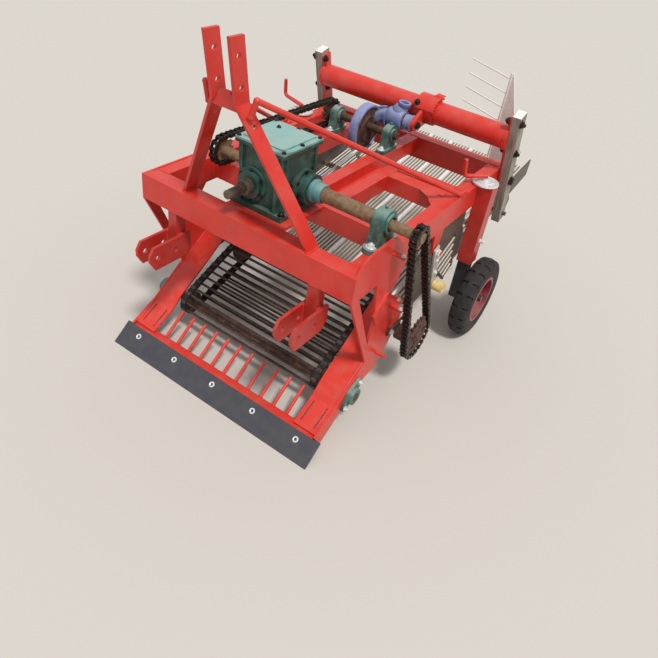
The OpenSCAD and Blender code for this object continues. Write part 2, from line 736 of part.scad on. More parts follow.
// Upright panel at the sieve's right rear corner, turned inward, with long finger rods
fence_at = [sieve_half - sheet_t - 1.8, frame_len + 129];
fence_turn = 158.8;
fence_w = 129;
fence_top = 1122;
module sieve_fence() {
  color("#b4b0a6") placed() {
    translate([fence_at[0], fence_at[1], 0]) rotate([0, 0, fence_turn]) {
      z = deck_z(fence_at[1] + 46) + 9;
      rotate([90, 0, 0]) linear_extrude(4) {
        polygon([[0, z], [fence_w, z], [fence_w, fence_top], [fence_w - 9, fence_top], [0, 830]]);
      }
      rotate([90, 0, 0]) translate([fence_w - 3, z, -5]) linear_extrude(14) square([8, fence_top - z]);
      for (h = [893, 959, 1027, 1096]) bar([fence_w, 0, h], [fence_w + 224, 44, h + 30], 4, $fn = 8);
      for (h = [711, 846]) bar([3, -2, h], [50, -151, 733], 4, $fn = 8);
    }
  }
}

module hangers() {
  color("#9a9a96") placed() both_sides() difference() {
    on_arm(hanger_pivot) block([half + 4, half + 12], [-22, 22], [-arm_len - 22, 22]);
    x_cyl(hanger_pivot, half, half + 30, 10 + pin_gap);
    x_cyl(front_joint, half, half + 30, 10 + pin_gap);
  }
}
module hanger_caps() {
  color("#d8bc6a") placed() both_sides() difference() {
    x_cyl(front_joint, half + 14, half + 64, 24);
    x_cyl(front_joint, half + 10, half + 42, 10 + pin_gap);
  }
}
module hanger_brackets() {
  color("#c62f28") placed() both_sides() {
    difference() {
      side_shape(half - 12, half) polygon([
        [hanger_pivot[0] - 40, beam_z], [hanger_pivot[0] + 40, beam_z],
        [hanger_pivot[0] + 24, hanger_pivot[1] - 24], [hanger_pivot[0] - 24, hanger_pivot[1] - 24]
      ]);
    }
    x_cyl(hanger_pivot, half, half + 30, 10);
  }
}

post_y = frame_len - 290;
post_x = half + post_w / 2;
module wheel_posts() {
  color("#a8241f") placed() both_sides() difference() {
    block([half, half + post_w], [post_y - post_w / 2, post_y + post_w / 2], [378, frame_top + 7]);
    block([post_x - leg_w / 2 - 1, post_x + leg_w / 2 + 1],
          [post_y - leg_w / 2 - 1, post_y + leg_w / 2 + 1], [370, frame_top + 1]);
    x_cyl(clamp_axis, post_x, half + post_w + 1, 7.2);
  }
}

// Clamp bolts that press on the legs through the posts' outer walls
clamp_axis = [post_y - 5, 502];
module clamp_bolts() {
  color("#b4b0a6") placed() both_sides() {
    x_cyl(clamp_axis, post_x + leg_w / 2 + 0.1, half + post_w + 20, 7);
    x_cyl(clamp_axis, half + post_w + 0.1, half + post_w + 10, 12);
  }
}
crank_x = post_x - 18;
module cranks() {
  color("#c8ccd0") placed() both_sides() translate([crank_x, post_y, frame_top + 7]) {
    difference() {
      cylinder(r = 60, h = 6);
      for (a = [45 : 90 : 315]) rotate([0, 0, a]) translate([46, 0, -1]) cylinder(r = 5, h = 8);
    }
    cylinder(r = 38, h = 9);
    cylinder(r = 16, h = 23);
  }
}
// Bent rod with its grip, from the hub out and up
module crank_handle(out, rise) {
  hub = [crank_x, post_y, frame_top + 39];
  elbow = hub + [out[0], out[1], -4];
  tip = elbow + [rise[0], rise[1], 82];
  translate(hub) sphere(9);
  bar(hub, elbow, 8);
  translate(elbow) sphere(9);
  bar(elbow, tip, 8);
}
module crank_handles() {
  color("#e23c32") placed() {
    crank_handle([-76, -75], [-4, -14]);
    mirror([1, 0, 0]) crank_handle([150, 60], [2, -4]);
  }
}
wheel_x = half + post_w + 8;
axle_y = post_y + 15;
module leg() {
  block([post_x - leg_w / 2, post_x + leg_w / 2], [post_y - leg_w / 2, post_y + leg_w / 2], [170, 640]);
  x_cyl([axle_y, tyre_r], post_x, wheel_x + tyre_w - 6, 15);
}
module leg_left() color("#2a2a2a") placed() mirror([1, 0, 0]) leg();
module leg_right() color("#2a2a2a") placed() leg();
module rim() {
  difference() {
    union() {
      x_cyl([axle_y, tyre_r], wheel_x + 4, wheel_x + tyre_w - 4, 118);
      x_cyl([axle_y, tyre_r], wheel_x + 4, wheel_x + tyre_w - 4, 34);
    }
    x_cyl([axle_y, tyre_r], wheel_x - 4, wheel_x + 24, 104);
    x_cyl([axle_y, tyre_r], wheel_x + 44, wheel_x + tyre_w + 4, 104);
    x_cyl([axle_y, tyre_r], wheel_x - 10, wheel_x + tyre_w + 10, 15 + pin_gap);
  }
}
module rim_left() color("#a83040") placed() mirror([1, 0, 0]) rim();
module rim_right() color("#a83040") placed() rim();
module tyre() {
  translate([wheel_x + tyre_w / 2, axle_y, tyre_r]) rotate([0, 90, 0]) rotate_extrude($fn = 64) polygon([
    [118, -tyre_w / 2 + 6], [150, -tyre_w / 2], [178, -tyre_w / 2 + 2], [tyre_r - 4, -tyre_w / 2 + 14],
    [tyre_r, 0], [tyre_r - 4, tyre_w / 2 - 14], [178, tyre_w / 2 - 2], [150, tyre_w / 2], [118, tyre_w / 2 - 6]
  ]);
}
module tyre_left() color("#26262a") placed() mirror([1, 0, 0]) tyre();
module tyre_right() color("#26262a") placed() tyre();

front_beam();
side_rails();
rear_member();
front_member();
long_members();
side_member();
gearbox_seat();
side_plate_left();
side_plate_right();
arm_left();
arm_right();
share();
share_bar();
mast_left();
mast_right();
mast_spacer();
mast_braces();
hitch_left();
hitch_right();
gearbox();
gearbox_lid();
input_shaft();
cross_shaft();
cross_pillow();
chain_right();
drive_shaft();
drive_bearings();
front_roller();
roller_bearings();
elevator_web();
chain_left();
eccentric_shaft();
eccentric_pillows();
eccentric_strap();
rocker_tube();
rocker_plates();
swing_boards();
knuckle();
sieve_deck();
sieve_sides();
sieve_fence();
hangers();
hanger_caps();
hanger_brackets();
wheel_posts();
clamp_bolts();
swing_pins();
cranks();
crank_handles();
leg_left();
leg_right();
rim_left();
rim_right();
tyre_left();
tyre_right();
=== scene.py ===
"""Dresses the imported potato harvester: finishes, fittings, welds, chains, tyres, light and camera.

Places are written in the machine's own millimetres, counted to the rear from the front
face of the front beam, and turned into the frame's metres by one function. The frame
gives every CAD piece its place; this script adds what the solids leave out.
"""

import json
import logging
import math
from dataclasses import dataclass, field, replace
from enum import Enum

import bmesh
import bpy
from mathutils import Euler, Matrix, Vector

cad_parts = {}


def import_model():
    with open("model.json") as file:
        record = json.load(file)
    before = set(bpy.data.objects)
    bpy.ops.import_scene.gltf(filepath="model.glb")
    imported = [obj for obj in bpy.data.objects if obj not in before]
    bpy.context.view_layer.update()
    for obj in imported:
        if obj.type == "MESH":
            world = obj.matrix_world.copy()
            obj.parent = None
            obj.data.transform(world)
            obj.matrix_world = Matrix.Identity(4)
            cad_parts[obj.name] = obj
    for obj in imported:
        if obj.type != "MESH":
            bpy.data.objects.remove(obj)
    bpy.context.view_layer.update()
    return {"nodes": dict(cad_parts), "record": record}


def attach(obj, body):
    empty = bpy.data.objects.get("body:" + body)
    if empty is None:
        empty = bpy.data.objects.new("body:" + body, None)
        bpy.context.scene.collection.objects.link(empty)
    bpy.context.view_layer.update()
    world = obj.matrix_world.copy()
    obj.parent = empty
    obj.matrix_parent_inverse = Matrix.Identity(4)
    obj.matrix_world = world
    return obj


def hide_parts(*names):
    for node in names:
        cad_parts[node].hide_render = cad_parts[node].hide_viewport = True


LOG = logging.getLogger("harvester")
PHOTO_PX = 658
MM = 0.001
UP = Vector((0, 0, 1))
RIGHT = Vector((1, 0, 0))
REAR = Vector((0, 1, 0))

Colour = tuple[float, float, float, float]
Point = tuple[float, float, float]
Pair = tuple[float, float]
Material = bpy.types.Material
Node = bpy.types.Node
Socket = bpy.types.NodeSocket


@dataclass(frozen=True)
class Machine:
    """The places that the added pieces share, in the machine's millimetres.

    Lengths count to the rear from the front beam's front face, heights from the ground and
    widths from the middle. An axis across the machine is its length and its height.
    """

    box_middle: float = 839.5
    half: float = 492.5
    rail_in: float = 430.5
    top: float = 768.0
    board_face: float = 545.5
    grille: float = 471.0
    cross_axis: Pair = (242.0, 866.0)
    drive_axis: Pair = (468.0, 284.0)
    roller_axis: Pair = (125.0, 152.0)
    eccentric_axis: Pair = (988.0, 850.0)
    ring_axis: Pair = (988.0, 837.0)
    eye_axis: Pair = (1096.0, 888.0)
    tube_axis: Pair = (1206.0, 934.0)
    board_pivot: Pair = (1284.0, 716.0)
    wheel_axis: Pair = (1050.0, 200.0)


AT = Machine()


def srgb(hex_code: str) -> Colour:
    """Turn an sRGB hex colour into Blender's linear colour.

    Args:
        hex_code: a colour such as "#d8342c".

    Returns:
        Linear red, green, blue and an alpha of 1.
    """
    parts = [int(hex_code[i:i + 2], 16) / 255 for i in (1, 3, 5)]
    linear = [p / 12.92 if p <= 0.04045 else ((p + 0.055) / 1.055) ** 2.4 for p in parts]
    return (linear[0], linear[1], linear[2], 1.0)


def spot(x: float, y: float, z: float) -> Vector:
    """Turn a place in the machine's millimetres into the frame's metres."""
    return Vector((x, y - AT.box_middle, z)) * MM


def sides_of(along: Vector) -> tuple[Vector, Vector]:
    """Two unit directions square to the one given and to each other."""
    side = along.cross(UP)
    if side.length < 0.05:
        side = RIGHT
    side = side.normalized()
    return side, along.cross(side).normalized()


def spoke(u: Vector, v: Vector, angle: float) -> Vector:
    """Unit direction at an angle from u toward v, two unit directions square to each other."""
    return u * math.cos(angle) + v * math.sin(angle)


def compass(angle: float) -> Vector:
    """Unit direction at an angle seen from the side, as lengthwise and upward parts."""
    return Vector((math.cos(angle), math.sin(angle)))


@dataclass
class Graph:
    """A material's node tree, with one way to add a node and the masks that finishes share."""

    material: Material

    def add(self, kind: str, links: dict | None = None, **settings: object) -> Node:
        """Add one node with its settings and its incoming links.

        Args:
            kind: the node's type, such as "ShaderNodeTexNoise".
            links: socket name or index to a plain value, an output socket, or a node whose
                first output is meant.
            settings: attributes set on the node itself.

        Returns:
            The new node.
        """
        tree = self.material.node_tree
        node = tree.nodes.new(kind)
        for name, value in settings.items():
            setattr(node, name, value)
        for key, value in (links or {}).items():
            source = value.outputs[0] if isinstance(value, Node) else value
            if isinstance(source, Socket):
                tree.links.new(source, node.inputs[key])
            else:
                node.inputs[key].default_value = source
        return node

    def patches(self, size_mm: float, low: float, high: float, full: float | Node = 1.0,
                stretch: Point = (1, 1, 1)) -> Node:
        """Soft patches of one size, as a mask.

        Args:
            size_mm: the patches' width.
            low: noise level where the mask starts.
            high: noise level where the mask is full.
            full: the mask's highest value, or another mask that limits it.
            stretch: how much longer the patches are along x, y and z.

        Returns:
            The mask.
        """
        place = self.add("ShaderNodeTexCoord").outputs["Object"]
        scaled = self.add("ShaderNodeMapping", {
            "Vector": place, "Scale": tuple(1000 / size_mm / s for s in stretch),
        })
        noise = self.add("ShaderNodeTexNoise", {"Vector": scaled, "Scale": 1.0, "Detail": 4.0})
        return self.add("ShaderNodeMapRange", {
            "Value": noise, "From Min": low, "From Max": high, "To Max": full,
        }, interpolation_type="SMOOTHSTEP")

    def facing_up(self, start: float, end: float, least: float = 0.0, full: float = 1.0) -> Node:
        """Mask of the faces that look up, where dust settles and where lighter tops are painted as sunlight;
        turned round, it puts painted shade on what looks down.

        Args:
            start: upward part of the normal where the mask starts.
            end: upward part of the normal where it is full.
            least: the mask's value on the other faces.
            full: its value on the faces that look up.

        Returns:
            The mask.
        """
        normal = self.add("ShaderNodeTexCoord").outputs["Normal"]
        upward = self.add("ShaderNodeSeparateXYZ", {0: normal}).outputs["Z"]
        return self.add("ShaderNodeMapRange", {
            "Value": upward, "From Min": start, "From Max": end, "To Min": least, "To Max": full,
        }, interpolation_type="SMOOTHSTEP")

    def rounded_edges(self, radius_mm: float, full: float = 1.0) -> tuple[Node, Node]:
        """Round the edges of the shading and find where they are.

        Args:
            radius_mm: the edge radius to show.
            full: the mask's value on a sharp edge.

        Returns:
            The rounded normal and a mask of the edges.
        """
        rounded = self.add("ShaderNodeBevel", {"Radius": radius_mm * MM}, samples=4)
        flat = self.add("ShaderNodeNewGeometry").outputs["Normal"]
        likeness = self.add("ShaderNodeVectorMath", {0: rounded, 1: flat}, operation="DOT_PRODUCT")
        edge = self.add("ShaderNodeMapRange", {
            "Value": likeness.outputs["Value"], "From Min": 0.995, "From Max": 0.9, "To Max": full,
        })
        return rounded, edge

    def grain(self, size_mm: float, detail: float) -> Node:
        """Fine even grain of one size, as a height."""
        place = self.add("ShaderNodeTexCoord").outputs["Object"]
        return self.add("ShaderNodeTexNoise", {
            "Vector": place, "Scale": 1000 / size_mm, "Detail": detail,
        })

    def coats(self, base: str | Socket, *layers: tuple[float | Node, str | Socket]) -> Socket:
        """Lay coats of colour over each other, each by its own mask.

        Args:
            base: the colour below all coats, as a hex code or a socket.
            layers: each coat's mask and colour, from the lowest up.

        Returns:
            The last coat's colour.
        """
        colour = srgb(base) if isinstance(base, str) else base
        for mask, coat in layers:
            over = srgb(coat) if isinstance(coat, str) else coat
            colour = self.add("ShaderNodeMix", {0: mask, 6: colour, 7: over}, data_type="RGBA").outputs[2]
        return colour

    def finish(self, shader: Node) -> Material:
        """Join the shader to the surface and hand the material over."""
        self.add("ShaderNodeOutputMaterial", {"Surface": shader})
        return self.material

    def surface(self, relief: Node, depth_mm: float, strength: float, rounded: Node, looks: dict) -> Material:
        """Close a material whose fine relief stands on its rounded edges.

        Args:
            relief: the height of the relief.
            depth_mm: how deep the relief is.
            strength: how much of it the light sees.
            rounded: the normal below it.
            looks: the surface's other inputs, such as its colour and roughness. A mask with two
                numbers gives the first where it is empty and the second where it is full.

        Returns:
            The finished material.
        """
        bump = self.add("ShaderNodeBump", {
            "Height": relief, "Distance": depth_mm * MM, "Strength": strength, "Normal": rounded,
        })
        inputs = {"Normal": bump}
        for name, look in looks.items():
            if isinstance(look, tuple):
                look = self.add("ShaderNodeMapRange", dict(zip(("Value", "To Min", "To Max"), look)))
            inputs[name] = look
        return self.finish(self.add("ShaderNodeBsdfPrincipled", inputs))


def new_graph(name: str) -> Graph:
    """Start an empty node material of that name."""
    material = bpy.data.materials.new(name)
    material.use_nodes = True
    material.node_tree.nodes.clear()
    return Graph(material)


@dataclass(frozen=True)
class SprayedEnamel:
    """Gloss enamel sprayed on rolled steel.

    Its slight orange peel breaks long soft highlights, its edges are rubbed paler with a painted
    edge highlight, it fades paler in random patches, what looks up is lighter as painted sunlight,
    darker patches on what looks down are painted shade, and field dust dulls it in clouds.
    """

    name: str
    colour: str
    # Paler red: random sun fading, rubbed edges with a painted edge highlight, and painted sunlight on what
    # looks up
    bleached_and_sunlit: str
    # Darker red for painted shade, mostly on what looks down
    shaded: str
    dust: str = "#b08a74"
    dust_share: float = 0.18
    roughness: float = 0.36
    edge_mm: float = 1.6
    chips: str = "#5c3224"
    chip_mm: float = 8.0
    # Orange peel is nearer 1 mm across; it is drawn at 3 mm so that it shows
    peel_mm: float = 3.0
    peel_depth_mm: float = 0.05

    def build(self) -> Material:
        """Build the enamel's material."""
        graph = new_graph(self.name)
        rounded, edge = graph.rounded_edges(self.edge_mm, 0.5)
        settled = graph.facing_up(-0.2, 0.95, self.dust_share * 0.35, self.dust_share)
        film = graph.patches(55, 0.38, 0.72, settled)
        skin = graph.coats(
            self.colour,
            (graph.patches(210, 0.34, 0.66, 0.22), self.bleached_and_sunlit),
            # Painted shade: darker patches, strongest on what looks down
            (graph.patches(90, 0.35, 0.7, graph.facing_up(-0.9, 0.3, 0.6, 0.1)), self.shaded),
            # Painted sunlight: what looks up is lighter
            (graph.facing_up(0.35, 0.95, 0.0, 0.35), self.bleached_and_sunlit),
            (film, self.dust),
            # Rubbed edges, paler, with a painted edge highlight
            (edge, self.bleached_and_sunlit),
            (graph.patches(self.chip_mm, 0.67, 0.71, 0.5), self.chips),
        )
        return graph.surface(graph.grain(self.peel_mm, 2.0), self.peel_depth_mm, 1.0, rounded, {
            "Base Color": skin, "Roughness": (film, self.roughness, 0.9), "IOR": 1.5,
            "Coat Weight": 0.08, "Coat Roughness": 0.28,
        })


@dataclass(frozen=True)
class SandCastIron:
    """Sand-cast iron under enamel: a pebbled skin that scatters light, with oil and dust in patches; what
    looks up is painted paler, as painted light and sky reflection.
    """

    name: str
    colour: str
    # Paler tone: random patches, rubbed edges, and painted light and sky reflection on what looks up
    pale: str
    oil: str = "#16201c"
    dust: str = "#a89a7c"
    dust_share: float = 0.45
    # Moulding sand leaves grains under 1 mm; they are drawn this coarse so that they show
    grain_mm: float = 4.0
    grain_depth_mm: float = 0.6
    roughness: float = 0.42

    def build(self) -> Material:
        """Build the painted casting's material."""
        graph = new_graph(self.name)
        rounded, edge = graph.rounded_edges(2.6, 0.45)
        settled = graph.facing_up(-0.1, 0.95, self.dust_share * 0.4, self.dust_share)
        film = graph.patches(35, 0.38, 0.7, settled)
        skin = graph.coats(
            self.colour,
            (graph.patches(70, 0.4, 0.7, 0.3), self.pale),
            (graph.patches(48, 0.48, 0.68, 0.6), self.oil),
            # Painted light: what looks up is paler, as lit tops and sky reflection
            (graph.facing_up(0.4, 0.95, 0.0, 0.7), self.pale),
            (film, self.dust),
            (edge, self.pale),
        )
        place = graph.add("ShaderNodeTexCoord").outputs["Object"]
        pebble = graph.add("ShaderNodeTexVoronoi", {"Vector": place, "Scale": 1000 / self.grain_mm},
                           feature="SMOOTH_F1")
        return graph.surface(pebble, self.grain_depth_mm, 0.7, rounded, {
            "Base Color": skin, "Roughness": (film, self.roughness, 0.95), "IOR": 1.5,
        })


class Lay(Enum):
    """The way a bare steel surface was worked, as the stretch of its marks along x, y and z."""

    ROLLED = (1.0, 1.0, 1.0)
    TURNED = (0.08, 1.0, 1.0)
    GROUND = (9.0, 1.0, 1.0)


@dataclass(frozen=True)
class BareSteel:
    """Mild steel left bare outdoors: dull grey metal with a bloom of rust and a film of dry soil."""

    name: str
    colour: str
    rust: str
    rust_share: float = 0.5
    dust: str = "#8c7862"
    dust_share: float = 0.3
    metallic: float = 0.7
    roughness: float = 0.42
    lay: Lay = Lay.ROLLED
    # Tool marks are a tenth of this width; they are drawn wider so that they show
    mark_mm: float = 4.0
    mark_share: float = 0.3
    mark_colour: str = "#c4beb4"
    rubber_from_mm: float = 0.0

    def belting(self, graph: Graph, skin: Socket, dull: Node) -> tuple[Socket, Node]:
        """Turn what lies further out than rubber_from_mm into black belting.

        Args:
            graph: the material's nodes.
            skin: the steel's colour.
            dull: the mask of what doesn't shine.

        Returns:
            The colour and the mask with the belting in them.
        """
        place = graph.add("ShaderNodeTexCoord").outputs["Object"]
        across = graph.add("ShaderNodeSeparateXYZ", {0: place}).outputs["X"]
        reach = graph.add("ShaderNodeMath", {0: across}, operation="ABSOLUTE")
        belt = graph.add("ShaderNodeMath", {0: reach, 1: self.rubber_from_mm * MM},
                         operation="GREATER_THAN")
        black = graph.coats("#141416", (graph.patches(14, 0.45, 0.7, 0.35), "#443c36"))
        matt = graph.add("ShaderNodeMath", {0: dull, 1: belt}, operation="MAXIMUM")
        return graph.coats(skin, (belt, black)), matt

    def build(self) -> Material:
        """Build the bare steel's material; past rubber_from_mm from the middle it is belting."""
        graph = new_graph(self.name)
        rounded, edge = graph.rounded_edges(0.9, 0.35)
        bloom = graph.patches(28, 0.42, 0.62, self.rust_share)
        freckle = graph.patches(6, 0.55, 0.68, self.rust_share)
        rusted = graph.add("ShaderNodeMath", {0: bloom, 1: freckle}, operation="MAXIMUM")
        marks = graph.patches(self.mark_mm, 0.35, 0.8, self.mark_share, self.lay.value)
        settled = graph.facing_up(-0.2, 0.9, self.dust_share * 0.3, self.dust_share)
        film = graph.patches(40, 0.35, 0.7, settled)
        brown = graph.coats(self.rust, (graph.patches(11, 0.4, 0.65, 0.5), "#8a5a38"))
        skin = graph.coats(self.colour, (marks, self.mark_colour), (edge, "#d8d4cc"),
                           (rusted, brown), (film, self.dust))
        dull = graph.add("ShaderNodeMath", {0: rusted, 1: film}, operation="MAXIMUM")
        if self.rubber_from_mm:
            skin, dull = self.belting(graph, skin, dull)
        relief = graph.add("ShaderNodeMath", {0: marks, 1: rusted}, operation="ADD")
        return graph.surface(relief, 0.2, 0.8, rounded, {
            "Base Color": skin, "Roughness": (dull, self.roughness, 0.85),
            "Metallic": (dull, self.metallic, 0.0),
        })


@dataclass(frozen=True)
class ZincPlate:
    """Zinc on steel sheet and rod: cloudy grey spangles that dull to chalk, with dry soil on top."""

    name: str
    colour: str
    spangle: str
    dust: str = "#c2a98c"
    dust_share: float = 0.5
    spangle_mm: float = 9.0
    metallic: float = 0.6
    roughness: float = 0.42
    edge_share: float = 0.3
    grain_mm: float = 2.0
    strip_pitch_mm: float = 0.0
    strip_at_mm: float = 0.0
    strip_half_mm: float = 6.0
    strip_colour: str = "#ffffff"

    def strips(self, graph: Graph, skin: Socket) -> Socket:
        """Lay the pale strips that run lengthwise, one at each pitch across the deck.

        Args:
            graph: the material's nodes.
            skin: the colour between the strips.

        Returns:
            The colour with the strips in it.
        """
        place = graph.add("ShaderNodeTexCoord").outputs["Object"]
        across = graph.add("ShaderNodeSeparateXYZ", {0: place}).outputs["X"]
        shifted = graph.add("ShaderNodeMath", {0: across, 1: -self.strip_at_mm * MM}, operation="ADD")
        fold = graph.add("ShaderNodeMath", {0: shifted, 1: self.strip_pitch_mm / 2 * MM},
                         operation="PINGPONG")
        strip = graph.add("ShaderNodeMath", {0: fold, 1: self.strip_half_mm * MM},
                          operation="LESS_THAN")
        chalk = graph.coats(self.strip_colour, (graph.patches(30, 0.45, 0.7, 0.12), self.dust))
        return graph.coats(skin, (strip, chalk))

    def build(self) -> Material:
        """Build the zinc's material, with its pale strips where the sieve has them."""
        graph = new_graph(self.name)
        place = graph.add("ShaderNodeTexCoord").outputs["Object"]
        rounded, edge = graph.rounded_edges(0.8, self.edge_share)
        cells = graph.add("ShaderNodeTexVoronoi", {"Vector": place, "Scale": 1000 / self.spangle_mm})
        grey = graph.add("ShaderNodeSeparateColor", {0: cells.outputs["Color"]})
        settled = graph.facing_up(-0.3, 0.8, self.dust_share * 0.4, self.dust_share)
        film = graph.patches(45, 0.3, 0.7, settled)
        skin = graph.coats(self.colour, (grey, self.spangle), (edge, "#e6e4de"),
                           (graph.patches(12, 0.58, 0.72, self.dust_share), "#7a5a40"),
                           (film, self.dust))
        if self.strip_pitch_mm:
            skin = self.strips(graph, skin)
        return graph.surface(graph.grain(self.grain_mm, 3.0), 0.1, 0.7, rounded, {
            "Base Color": skin, "Roughness": (film, self.roughness, 0.85),
            "Metallic": (film, self.metallic, 0.1),
        })


@dataclass(frozen=True)
class GreasedChainSteel:
    """Roller chain steel, black with old grease and grit, with bright wear where the plates rub."""

    name: str
    grease: str = "#1c1410"
    worn: str = "#6a5848"
    grit: str = "#42301f"
    grit_mm: float = 5.0
    grain_mm: float = 1.5385

    def build(self) -> Material:
        """Build the chain's material."""
        graph = new_graph(self.name)
        rounded, edge = graph.rounded_edges(0.7, 0.9)
        skin = graph.coats(self.grease, (graph.patches(self.grit_mm, 0.48, 0.66), self.grit),
                           (edge, self.worn), (graph.patches(12, 0.5, 0.7, 0.7), self.grease))
        return graph.surface(graph.grain(self.grain_mm, 4.0), 0.3, 0.8, rounded, {
            "Base Color": skin, "Roughness": (graph.patches(7, 0.4, 0.7), 0.28, 0.62),
            "Metallic": (edge, 0.4, 0.9),
        })


@dataclass(frozen=True)
class WeatheredBeech:
    """Sawn beech greyed by rain: long grain with darker checks, pale on what looks up, where the saw cut
    shows and as painted sunlight.
    """

    name: str
    colour: str
    grain: str
    # Pale end grain of the saw cut on what looks up, with painted sunlight
    pale: str = "#f0ece4"
    lean_deg: float = 16.5
    # The real grain is about 1 mm wide; it is drawn coarser so that it shows
    grain_mm: float = 3.4
    grain_long_mm: float = 90.0

    def build(self) -> Material:
        """Build the board's material, with its grain along the leaning board."""
        graph = new_graph(self.name)
        place = graph.add("ShaderNodeTexCoord").outputs["Object"]
        rounded, edge = graph.rounded_edges(2.0, 0.4)
        along = graph.add("ShaderNodeMapping", {
            "Vector": place, "Rotation": (math.radians(-self.lean_deg), 0, 0),
        })
        fine = 1000 / self.grain_mm
        fibres = graph.add("ShaderNodeMapping", {
            "Vector": along, "Scale": (fine, fine, 1000 / self.grain_long_mm),
        })
        grain = graph.add("ShaderNodeTexNoise", {
            "Vector": fibres, "Scale": 1.0, "Detail": 5.0, "Distortion": 0.4,
        })
        lines = graph.add("ShaderNodeMapRange", {
            "Value": grain, "From Min": 0.42, "From Max": 0.68,
        })
        skin = graph.coats(self.colour, (lines, self.grain),
                           (graph.patches(60, 0.4, 0.7, 0.4), "#a89a86"),
                           # Painted sunlight: what looks up turns pale, over the saw cut's end grain
                           (graph.facing_up(0.75, 0.95), self.pale), (edge, "#c8bfae"))
        return graph.surface(lines, 0.6, 0.9, rounded, {"Base Color": skin, "Roughness": 0.82, "IOR": 1.45})


@dataclass(frozen=True)
class TurnedNylon:
    """Turned nylon bush stock: waxy and slightly see-through at heart, with fine turning rings."""

    name: str
    colour: str
    shade: str
    # The rings that the tool leaves are about 0.3 mm apart; they are drawn wider so that they show
    ring_mm: float = 2.4

    def build(self) -> Material:
        """Build the nylon's material."""
        graph = new_graph(self.name)
        rounded, edge = graph.rounded_edges(1.5, 0.4)
        skin = graph.coats(self.colour, (graph.patches(30, 0.35, 0.7), self.shade),
                           (edge, "#f2e8c0"), (graph.patches(14, 0.55, 0.7, 0.5), "#8a7048"))
        rings = graph.patches(self.ring_mm, 0.35, 0.65, 1.0, (1.0, 12.0, 12.0))
        return graph.surface(rings, 0.1, 0.6, rounded, {
            "Base Color": skin, "Roughness": 0.45, "IOR": 1.53, "Subsurface Weight": 0.05,
        })


@dataclass(frozen=True)
class TyreRubber:
    """Vulcanised rubber, charcoal and matt, with pale dust on the tread and the mould's fine grain."""

    name: str
    colour: str
    dust: str
    dust_share: float = 0.2
    grain_mm: float = 1.1111

    def build(self) -> Material:
        """Build the rubber's material."""
        graph = new_graph(self.name)
        rounded, edge = graph.rounded_edges(1.2, 0.3)
        skin = graph.coats(self.colour,
                           (graph.patches(34, 0.35, 0.7, self.dust_share), self.dust),
                           (graph.patches(4, 0.55, 0.72, 0.35), self.dust), (edge, "#4a4542"))
        return graph.surface(graph.grain(self.grain_mm, 3.0), 0.3, 0.6, rounded, {
            "Base Color": skin, "Roughness": 0.8, "IOR": 1.52,
        })


@dataclass
class PieceBuilder:
    """Gathers one added piece's mesh from turned, cut and drawn forms. Sizes are millimetres."""

    name: str
    mesh: bmesh.types.BMesh = field(default_factory=bmesh.new)

    def skin(self, rings: list[list[Vector]], closed: bool = False) -> None:
        """Skin a run of rings that have the same number of points.

        Args:
            rings: the rings' points in metres.
            closed: joins the last ring to the first instead of capping both ends.
        """
        rows = [[self.mesh.verts.new(p) for p in ring] for ring in rings]
        for low, high in zip(rows, rows[1:] + (rows[:1] if closed else [])):
            for i, corner in enumerate(low):
                j = (i + 1) % len(low)
                self.mesh.faces.new((corner, low[j], high[j], high[i]))
        if not closed:
            self.mesh.faces.new(rows[0][::-1])
            self.mesh.faces.new(rows[-1])

    def turned(self, at: Vector, along: Vector, profile: list[Pair],
               sides: int = 24, turn_deg: float = 0.0, closed: bool = False) -> None:
        """Turn a profile round an axis, as on a lathe; six sides make a hex.

        Args:
            at: the axis's start, in the frame's metres.
            along: the axis's direction.
            profile: distance along the axis and radius of each step.
            sides: number of flats round the axis.
            turn_deg: angle of the first corner.
            closed: joins the last step to the first, which leaves the bore open.
        """
        along = along.normalized()
        u, v = sides_of(along)
        angles = [math.radians(turn_deg) + math.tau * i / sides for i in range(sides)]
        self.skin([[at + (along * d + spoke(u, v, a) * r) * MM for a in angles] for d, r in profile], closed)

    def cut(self, outline: list[Vector], thick: Vector) -> None:
        """Cut a plate: an outline in the frame's metres and its thickness as a step."""
        self.skin([outline, [p + thick for p in outline]])

    def drawn(self, path: list[Vector], radii: list[float], sides: int = 6, closed: bool = False) -> None:
        """Draw a round bar or bead along a path.

        Args:
            path: the points it passes, in the frame's metres.
            radii: its radius at each point.
            sides: number of flats round it.
            closed: joins its end to its start.
        """
        rings = []
        for i, point in enumerate(path):
            before = path[i - 1] if i or closed else point
            after = path[(i + 1) % len(path)] if i + 1 < len(path) or closed else point
            u, v = sides_of((after - before).normalized())
            rings.append([point + spoke(u, v, math.tau * k / sides) * radii[i] * MM for k in range(sides)])
        self.skin(rings, closed)

    def hand_over(self, material: Material, body: str, slot: str, *replaced: str,
                  crease_deg: float = 34.0) -> None:
        """Make the object, dress it, let it ride and report it.

        Args:
            material: its finish.
            body: the CAD body that it rides on.
            slot: the record's material slot that it belongs to; not used.
            replaced: the CAD nodes that it stands for.
            crease_deg: edges sharper than this stay crisp.
        """
        bmesh.ops.recalc_face_normals(self.mesh, faces=self.mesh.faces)
        data = bpy.data.meshes.new(self.name)
        self.mesh.to_mesh(data)
        self.mesh.free()
        data.shade_smooth()
        data.set_sharp_from_angle(angle=math.radians(crease_deg))
        piece = bpy.data.objects.new(self.name, data)
        bpy.context.scene.collection.objects.link(piece)
        data.materials.append(material)
        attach(piece, body)
        if replaced:
            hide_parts(*replaced)
        LOG.info("%s rides on %s with %d faces", self.name, body, len(data.polygons))


